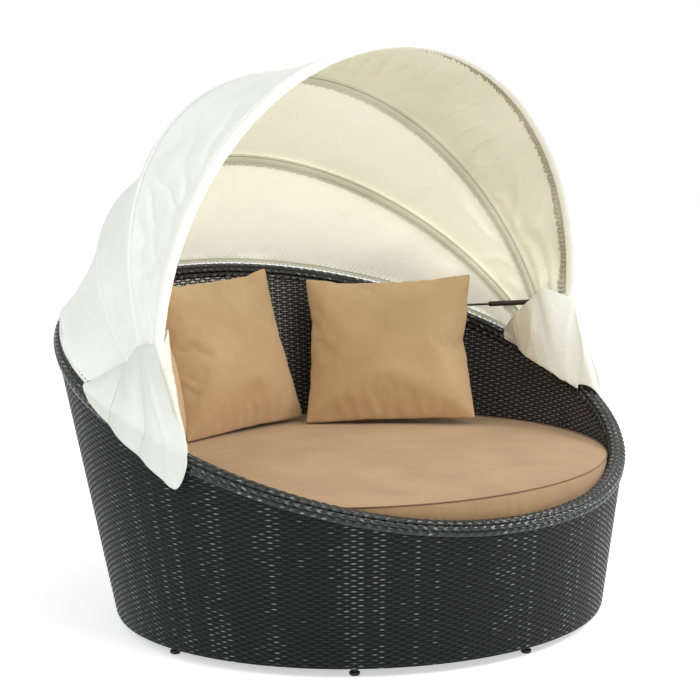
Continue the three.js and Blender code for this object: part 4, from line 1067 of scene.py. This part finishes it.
# Slanting creases between the bows, with tight gathers where the cloth meets the facing.
def front_fold(u, share, here):
    hold = min(1, 5 * share) * min(1, 5 * (1 - share))
    slant = Vector((u * 26 + share * 3.4, share * 2.6 - u * 7, 0.7))
    crease = front_creases * ridge(slant * 0.8, 2.2) * max(0, 0.45 + 1.3 * noise.noise(here * 2.2))
    wander = u * 30 + share * 2.2 + 1.8 * noise.noise(here * 2.6)
    patch = max(0, 0.3 + 1.6 * noise.noise(here * 3.1))
    slanted = front_slants * (1 - abs(math.sin(math.pi * wander))) ** 3 * patch
    near_end = math.exp(-min(u, 1 - u) * 14)
    ends = front_ends * near_end * math.sin(share * 17 + 5 * noise.noise(here * 3))
    loose = crease + slanted + ends + crumple(u, here) + front_lumps * noise.noise(here * 5)
    tight = front_gathers * math.exp(-share * 8) * math.sin(u * 260 + 4 * noise.noise(here * 6))
    return hold * loose + tight * min(1, 8 * share)


# A few shallow ridges across a panel that is drawn nearly tight.
def middle_fold(u, share, here):
    hold = 4 * share * (1 - share)
    ridges = middle_ridges * ridge(Vector((u * 11, share * 1.5, 4.2)), 3)
    return hold * (middle_lumps * noise.noise(here * 4) + ridges + crumple(u, here))


def hem_pucker(u):
    return math.sin(u * hem_puckers * 2 * math.pi + 5 * noise.noise(Vector((u * 22, 0, 0))))


# Nine soft upright folds that widen towards the rim, where the elastic gathers the edge.
def rear_fold(u, share, here):
    upright = rear_upright * math.cos(u * rear_folds * 2 * math.pi) * share
    soft = rear_soft * noise.noise(Vector((u * 16, share * 0.9, 2.4))) * share**0.7
    gather = rear_gathers * hem_pucker(u) * share**14
    belly = 4 * share * (1 - share)
    held_in = (upright + soft) * min(1, 12 * (1 - share) + 0.35)
    return held_in + gather + belly * (crumple(u, here) + rear_lumps * noise.noise(here * 7))


def bow_row(which, ahead, count):
    return [bow_at(which, i / count * math.pi, seam_stand, ahead) for i in range(count + 1)]


def hem_at(u, rise, inset=hem_inset):
    theta = hem_start + (math.pi - 2 * hem_start) * u
    return wall_point(theta, rim_height(theta) + rise, inset)


# A panel's cloth takes the place of its part, with its placing baked into its points.
def make_panel(name, node, rows, inside):
    piece = cloth_sheet(name, rows, cloth_thick, white_cloth, inside)
    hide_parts(node)
    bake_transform(piece)


def on_panel(rows, u, share, sunk):
    across, down = u * (len(rows[0]) - 1), share * (len(rows) - 1)
    i, k = min(int(across), len(rows[0]) - 2), min(int(down), len(rows) - 2)
    upper = rows[k][i].lerp(rows[k][i + 1], across - i)
    lower = rows[k + 1][i].lerp(rows[k + 1][i + 1], across - i)
    place = upper.lerp(lower, down - k)
    return place + inwards(place) * sunk


# The facing lies just inside the front panel along its front edge, in small pleats.
def facing_row(rows, t):
    row = []
    for i in range(facing_steps + 1):
        u = 0.008 + 0.984 * i / facing_steps
        middle = int(u * panel_columns)
        depth = (rows[0][middle] - rows[-1][middle]).length
        pleat = math.sin(u * facing_pleats * 2 * math.pi + 4 * noise.noise(Vector((u * 31, 0, 0))))
        uneven = 1 + 0.3 * noise.noise(Vector((u * 190, 2.0, 0)))
        sunk = facing_sunk + facing_depth * (1 + pleat) * (0.35 + 0.65 * t)
        row.append(on_panel(rows, u, t * uneven * facing_width / depth, sunk))
    return row


first, last = bow_row("front", front_seam, panel_columns), bow_row("middle", seam_stand, panel_columns)
rows = panel_rows(first, last, front_panel["rows"], front_panel["sag"], front_fold)
facing_rows = [facing_row(rows, t) for t in (0, 0.3, 0.65, 1)]
# Painted shade: the facing takes a greyer cloth, for the shade it lies in behind the casing.
facing = cloth_sheet("front_pleated_facing", facing_rows, frill_thick, shade_cloth, shade_cloth)
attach(facing, "front_bow")
make_panel(
    "canopy_front_panel", "canopy_front", rows, dusky_cloth,
)
first, last = bow_row("middle", -seam_stand, panel_columns), bow_row("rear", seam_stand, panel_columns)
rows = panel_rows(first, last, middle_panel["rows"], middle_panel["sag"], middle_fold)
make_panel(
    "canopy_middle_panel", "canopy_middle", rows, cream_cloth,
)
hem_top = [hem_at(i / rear_columns, hem_top_rise) for i in range(rear_columns + 1)]
first = bow_row("rear", -seam_stand, rear_columns)
rows = panel_rows(first, hem_top, rear_panel["rows"], rear_panel["sag"], rear_fold)
make_panel(
    "canopy_rear_panel", "canopy_rear", rows, rear_cloth,
)

# Elastic hem
# A narrow casing with elastic in it along the panel's lower edge, gathered into small puckers
# where it grips the braided rim. A cord runs in it and is knotted at both ends.
hem_columns, hem_steps, hem_thick = 2400, 6, 0.0022
hem_rise, hem_fall, hem_ruffle, hem_belly, hem_gather = 0.0236, 0.0138, 0.0012, 0.003, 0.0005
knot_spot, knot_turn, knot_radius, cord_radius = (0.014, 0.030), (0.6, 0.9, 0.3), 0.0042, 0.0024
hem_rows = []
for k in range(hem_steps + 1):
    t = k / hem_steps
    row = []
    for i in range(hem_columns + 1):
        u = i / hem_columns
        pucker = hem_pucker(u)
        ruffle = hem_ruffle * pucker if k == hem_steps else 0
        inset = hem_inset - hem_belly * math.sin(math.pi * t) - hem_gather * pucker
        row.append(hem_at(u, hem_rise - hem_fall * t + ruffle, inset))
    hem_rows.append(row)
# Painted shade: the hem's inner face takes the greyer cream cloth of the covers' insides.
hem = cloth_sheet("canopy_gathered_hem", hem_rows, hem_thick, white_cloth, shaded_cover_cloth)
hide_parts("canopy_hem")
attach(hem, "tub")
for side, u in (("right", 0.0), ("left", 1.0)):
    bpy.ops.object.select_all(action="DESELECT")
    bpy.ops.mesh.primitive_torus_add(
        location=hem_at(u, *knot_spot), major_radius=knot_radius, minor_radius=cord_radius,
        major_segments=28, minor_segments=12,
    )
    knot = bpy.context.object
    knot.name = f"hem_cord_knot_{side}"
    knot.rotation_euler = knot_turn
    bpy.ops.object.transform_apply(location=True, rotation=True)
    for vertex in knot.data.vertices:
        vertex.co += vertex.normal * 0.001 * noise.noise(vertex.co * 300)
    bpy.ops.object.shade_smooth()
    dress(knot, white_cloth, "canopy_fabric", "tub")

# Side covers
# A loose skirt of canopy cloth on each side. It hangs from the three legs outside the wall, wraps
# round the front leg and falls inside as well, and hides the brackets and the pivot bolts.
tip_reach, rear_setback, front_swing, tip_drop, rear_lift = 0.109, 0.028, 0.030, 0.078, 0.018
over_rim, inner_over, inner_drop, stand_off, slack, collar = 0.030, 0.006, 0.008, 0.009, 0.006, 0.026
nose_slant, bulge_reach, bulge_back, fold_depth, fold_count, shoulder = 0.050, 0.060, 0.105, 0.009, 3, 0.62
cover_middle, tuck, braid_inner_face, nose_play = 0.01386, 0.006, 0.0408, 0.0012
rear_end_rise, rear_end_inset = 0.023, 0.020
nose_reaches = {"right": 0.016, "left": -0.006}
outer_steps, inner_steps, cover_rows = 9, 6, 8
column_parts, row_parts = 7, 6
crease_depth, cover_cut, cover_fall, band_edge = 0.0075, 0.31, 0.3, 0.15
pivot_y = pivot.y - tub_y
strut_ball_low, strut_ball_high = (Vector(c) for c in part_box("strut_right_cylinder_ball"))
strut_top = Vector((strut_ball_low.x + 0.005, (strut_ball_low.y + strut_ball_high.y) / 2 - tub_y, 0))
strut_clear = 0.008
bolt_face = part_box("pivot_bolt_right")[0][0]
bracket_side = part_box("pivot_bracket_right")[0][0]
tub_shift = Vector((0, tub_y, 0))

# Each part of a cover has its spans of columns, the columns where its band starts and ends, and the
# two bodies at its back and its front. Columns 0 to 9 hang outside, 10 to 12 wrap the nose, and the
# rest fall inside.
sectors = {
    "front": ([(6, 15)], 6, 9, "middle_bow", "front_bow"),
    "middle": ([(3, 6), (15, 17)], 3, 6, "rear_bow", "middle_bow"),
    "rear": ([(0, 3), (17, 19)], 0, 3, "tub", "rear_bow"),
}


# The point of the rim at a distance from the tub's middle line, moved in by an inset and up.
def rim_spot(y, inset, rise):
    theta = 0.0
    for _ in range(12):
        theta = math.asin(y / wall_radius(theta, rim_heights["side"]))
    rim = rim_height(theta)
    for _ in range(12):
        theta = math.asin(y / (wall_radius(theta, rim) - inset))
    return Vector(((wall_radius(theta, rim) - inset) * math.cos(theta), y, rim + rise))


def outer_stops():
    stops = [leg_at(which, 1, bow_leg + tuck, cover_middle, 0.0) - tub_shift for which in bow_shapes]
    rear_end = wall_point(hem_start, rim_height(hem_start) + rear_end_rise, rear_end_inset) - tub_shift
    rear_end.y -= slack
    return stops + [rear_end]


def inner_stops():
    front, middle, rear, end = outer_stops()
    inboard = strut_top.x - strut_clear - 2 * slack
    front = Vector((inboard, strut_top.y, front.z + collar))
    middle.x = inboard
    rear.x = arch_half["rear"] - bow_tube - slack
    end.x = rim_spot(end.y, braid_inner_face + slack, 0).x
    return [front, middle, rear, end]


def along_stops(stops, share):
    place = share * (len(stops) - 1)
    low = min(int(place), len(stops) - 2)
    return stops[low].lerp(stops[low + 1], place - low)


# A column of the cover is its top on the legs, the place where it bends over the rim, and its tip.
def outer_column(share):
    front = 1 - share
    rear_y = outer_stops()[-1].y - rear_setback
    tip_y = (pivot_y - tip_reach) * front + rear_y * share
    over_y = tip_y - front_swing * front
    fold = fold_depth * (1 - math.cos(share * fold_count * 2 * math.pi)) / 2
    off = -braid_proud - stand_off - fold
    drop = tip_drop * front - rear_lift * share
    return [along_stops(outer_stops(), share), rim_spot(over_y, off, over_rim), rim_spot(tip_y, off, -drop)]


def nose_columns(nose_reach):
    tip_y = pivot_y - tip_reach - front_swing
    rise = braid_rise + slack
    tips = [
        rim_spot(tip_y - nose_reach, -braid_proud - slack, -rise),
        rim_spot(tip_y + nose_slant / 2 - nose_reach, wall_thickness / 2, rise),
        rim_spot(tip_y + nose_slant, braid_inner_face, slack),
    ]
    away = cover_middle + nose_play
    made = []
    for k, tip in enumerate(tips):
        turn = math.radians(45) * (k + 1)
        top = leg_at("front", 1, bow_leg + tuck, away * math.cos(turn), away * math.sin(turn)) - tub_shift
        made.append([top, top.lerp(tip, shoulder), tip])
    return made


def swell(distance):
    return math.exp(-((distance / bulge_reach) ** 2))


# Inside, the cloth swells past the bracket and the bolt's end.
def inner_column(share):
    stops = inner_stops()
    top = along_stops(stops, share)
    front_y = pivot_y - tip_reach - front_swing + nose_slant
    tip_y = (front_y + slack) * (1 - share) + stops[-1].y * share
    tip = rim_spot(tip_y, braid_inner_face + slack, -inner_drop)
    tip.x += (bracket_side - 2 * slack - tip.x) * swell(tip_y - pivot_y)
    over_y = tip_y + (top.y - tip_y) * (1 - shoulder)
    over = rim_spot(over_y, braid_inner_face + 2 * slack, inner_over)
    past = over.y - pivot_y
    clear = swell(max(0, past - bulge_back)) if past > 0 else swell(past)
    over.x += (bolt_face - slack - over.x) * clear
    return [top, over, tip]


# Extra points on a smooth curve through the given ones.
def smoothed(places, parts):
    made = []
    for i in range(len(places) - 1):
        a, b, c, d = (places[max(0, min(k, len(places) - 1))] for k in (i - 1, i, i + 1, i + 2))
        for j in range(parts):
            t = j / parts
            square, cube = (2 * a - 5 * b + 4 * c - d) * t * t, (3 * b - a - 3 * c + d) * t**3
            made.append(((2 * b) + (c - a) * t + square + cube) / 2)
    return made + [places[-1]]


def cover_surface(side):
    columns = [outer_column(j / outer_steps) for j in range(outer_steps, -1, -1)]
    columns += nose_columns(nose_reaches[side])
    columns += [inner_column(j / inner_steps) for j in range(inner_steps + 1)]
    grid = []
    for top, over, tip in columns:
        coarse = []
        for i in range(cover_rows + 1):
            down = i / cover_rows
            below = (down - shoulder) / (1 - shoulder)
            coarse.append(over.lerp(tip, below) if below > 0 else top.lerp(over, down / shoulder))
        grid.append(smoothed(coarse, row_parts))
    return [smoothed([column[i] for column in grid], column_parts) for i in range(len(grid[0]))]


# The surface on its own side of the tub, with creases that deepen below the legs.
def creased_rows(side, sign):
    surface = cover_surface(side)
    rows = []
    for i, row in enumerate(surface):
        down = i / (len(surface) - 1)
        free = min(1, 4 * down) * (1.25 - down)
        placed = []
        for j, place in enumerate(row):
            crease = crease_depth * noise.noise(Vector((j * 0.11 + sign * 3, down * 1.3, 0.4))) * free
            fold_at = Vector((j * 0.06 - down * 0.8 + sign, down * 0.5, 6.1))
            crease += crease_depth * ridge(fold_at, 3) * free
            outside = 1 if j < (outer_steps + 1) * column_parts else -1
            own_side = Vector((sign * place.x, place.y + tub_y, place.z))
            placed.append(own_side + Vector((sign * crease * outside, 0, 0)))
        rows.append(placed)
    return rows


for side, sign in (("right", 1), ("left", -1)):
    cover_grid = creased_rows(side, sign)
    for sector, (spans, back, front, body_back, body_front) in sectors.items():
        strips = [[row[a * column_parts : b * column_parts + 1] for row in cover_grid] for a, b in spans]
        islands = []
        for k, strip in enumerate(strips):
            # Painted shade: strips on the inner side take the greyer cream cloth on both faces.
            outside = shaded_cover_cloth if k else cover_cloth
            name = f"side_cover_{sector}_{side}_{k}"
            islands.append(cloth_sheet(name, strip, cloth_thick, outside, shaded_cover_cloth))
        cover = islands[0]
        if len(islands) > 1:
            select_only(*islands)
            bpy.ops.object.join()
        cover.name = f"side_cover_{sector}_{side}"
        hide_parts(f"side_cover_{side}")
        edge = [row[back * column_parts] for row in cover_grid]
        line = edge[-1] - edge[0]
        normal = Vector((0, line.z, -line.y)).normalized()
        if normal.y > 0:
            normal = -normal
        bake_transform(cover)
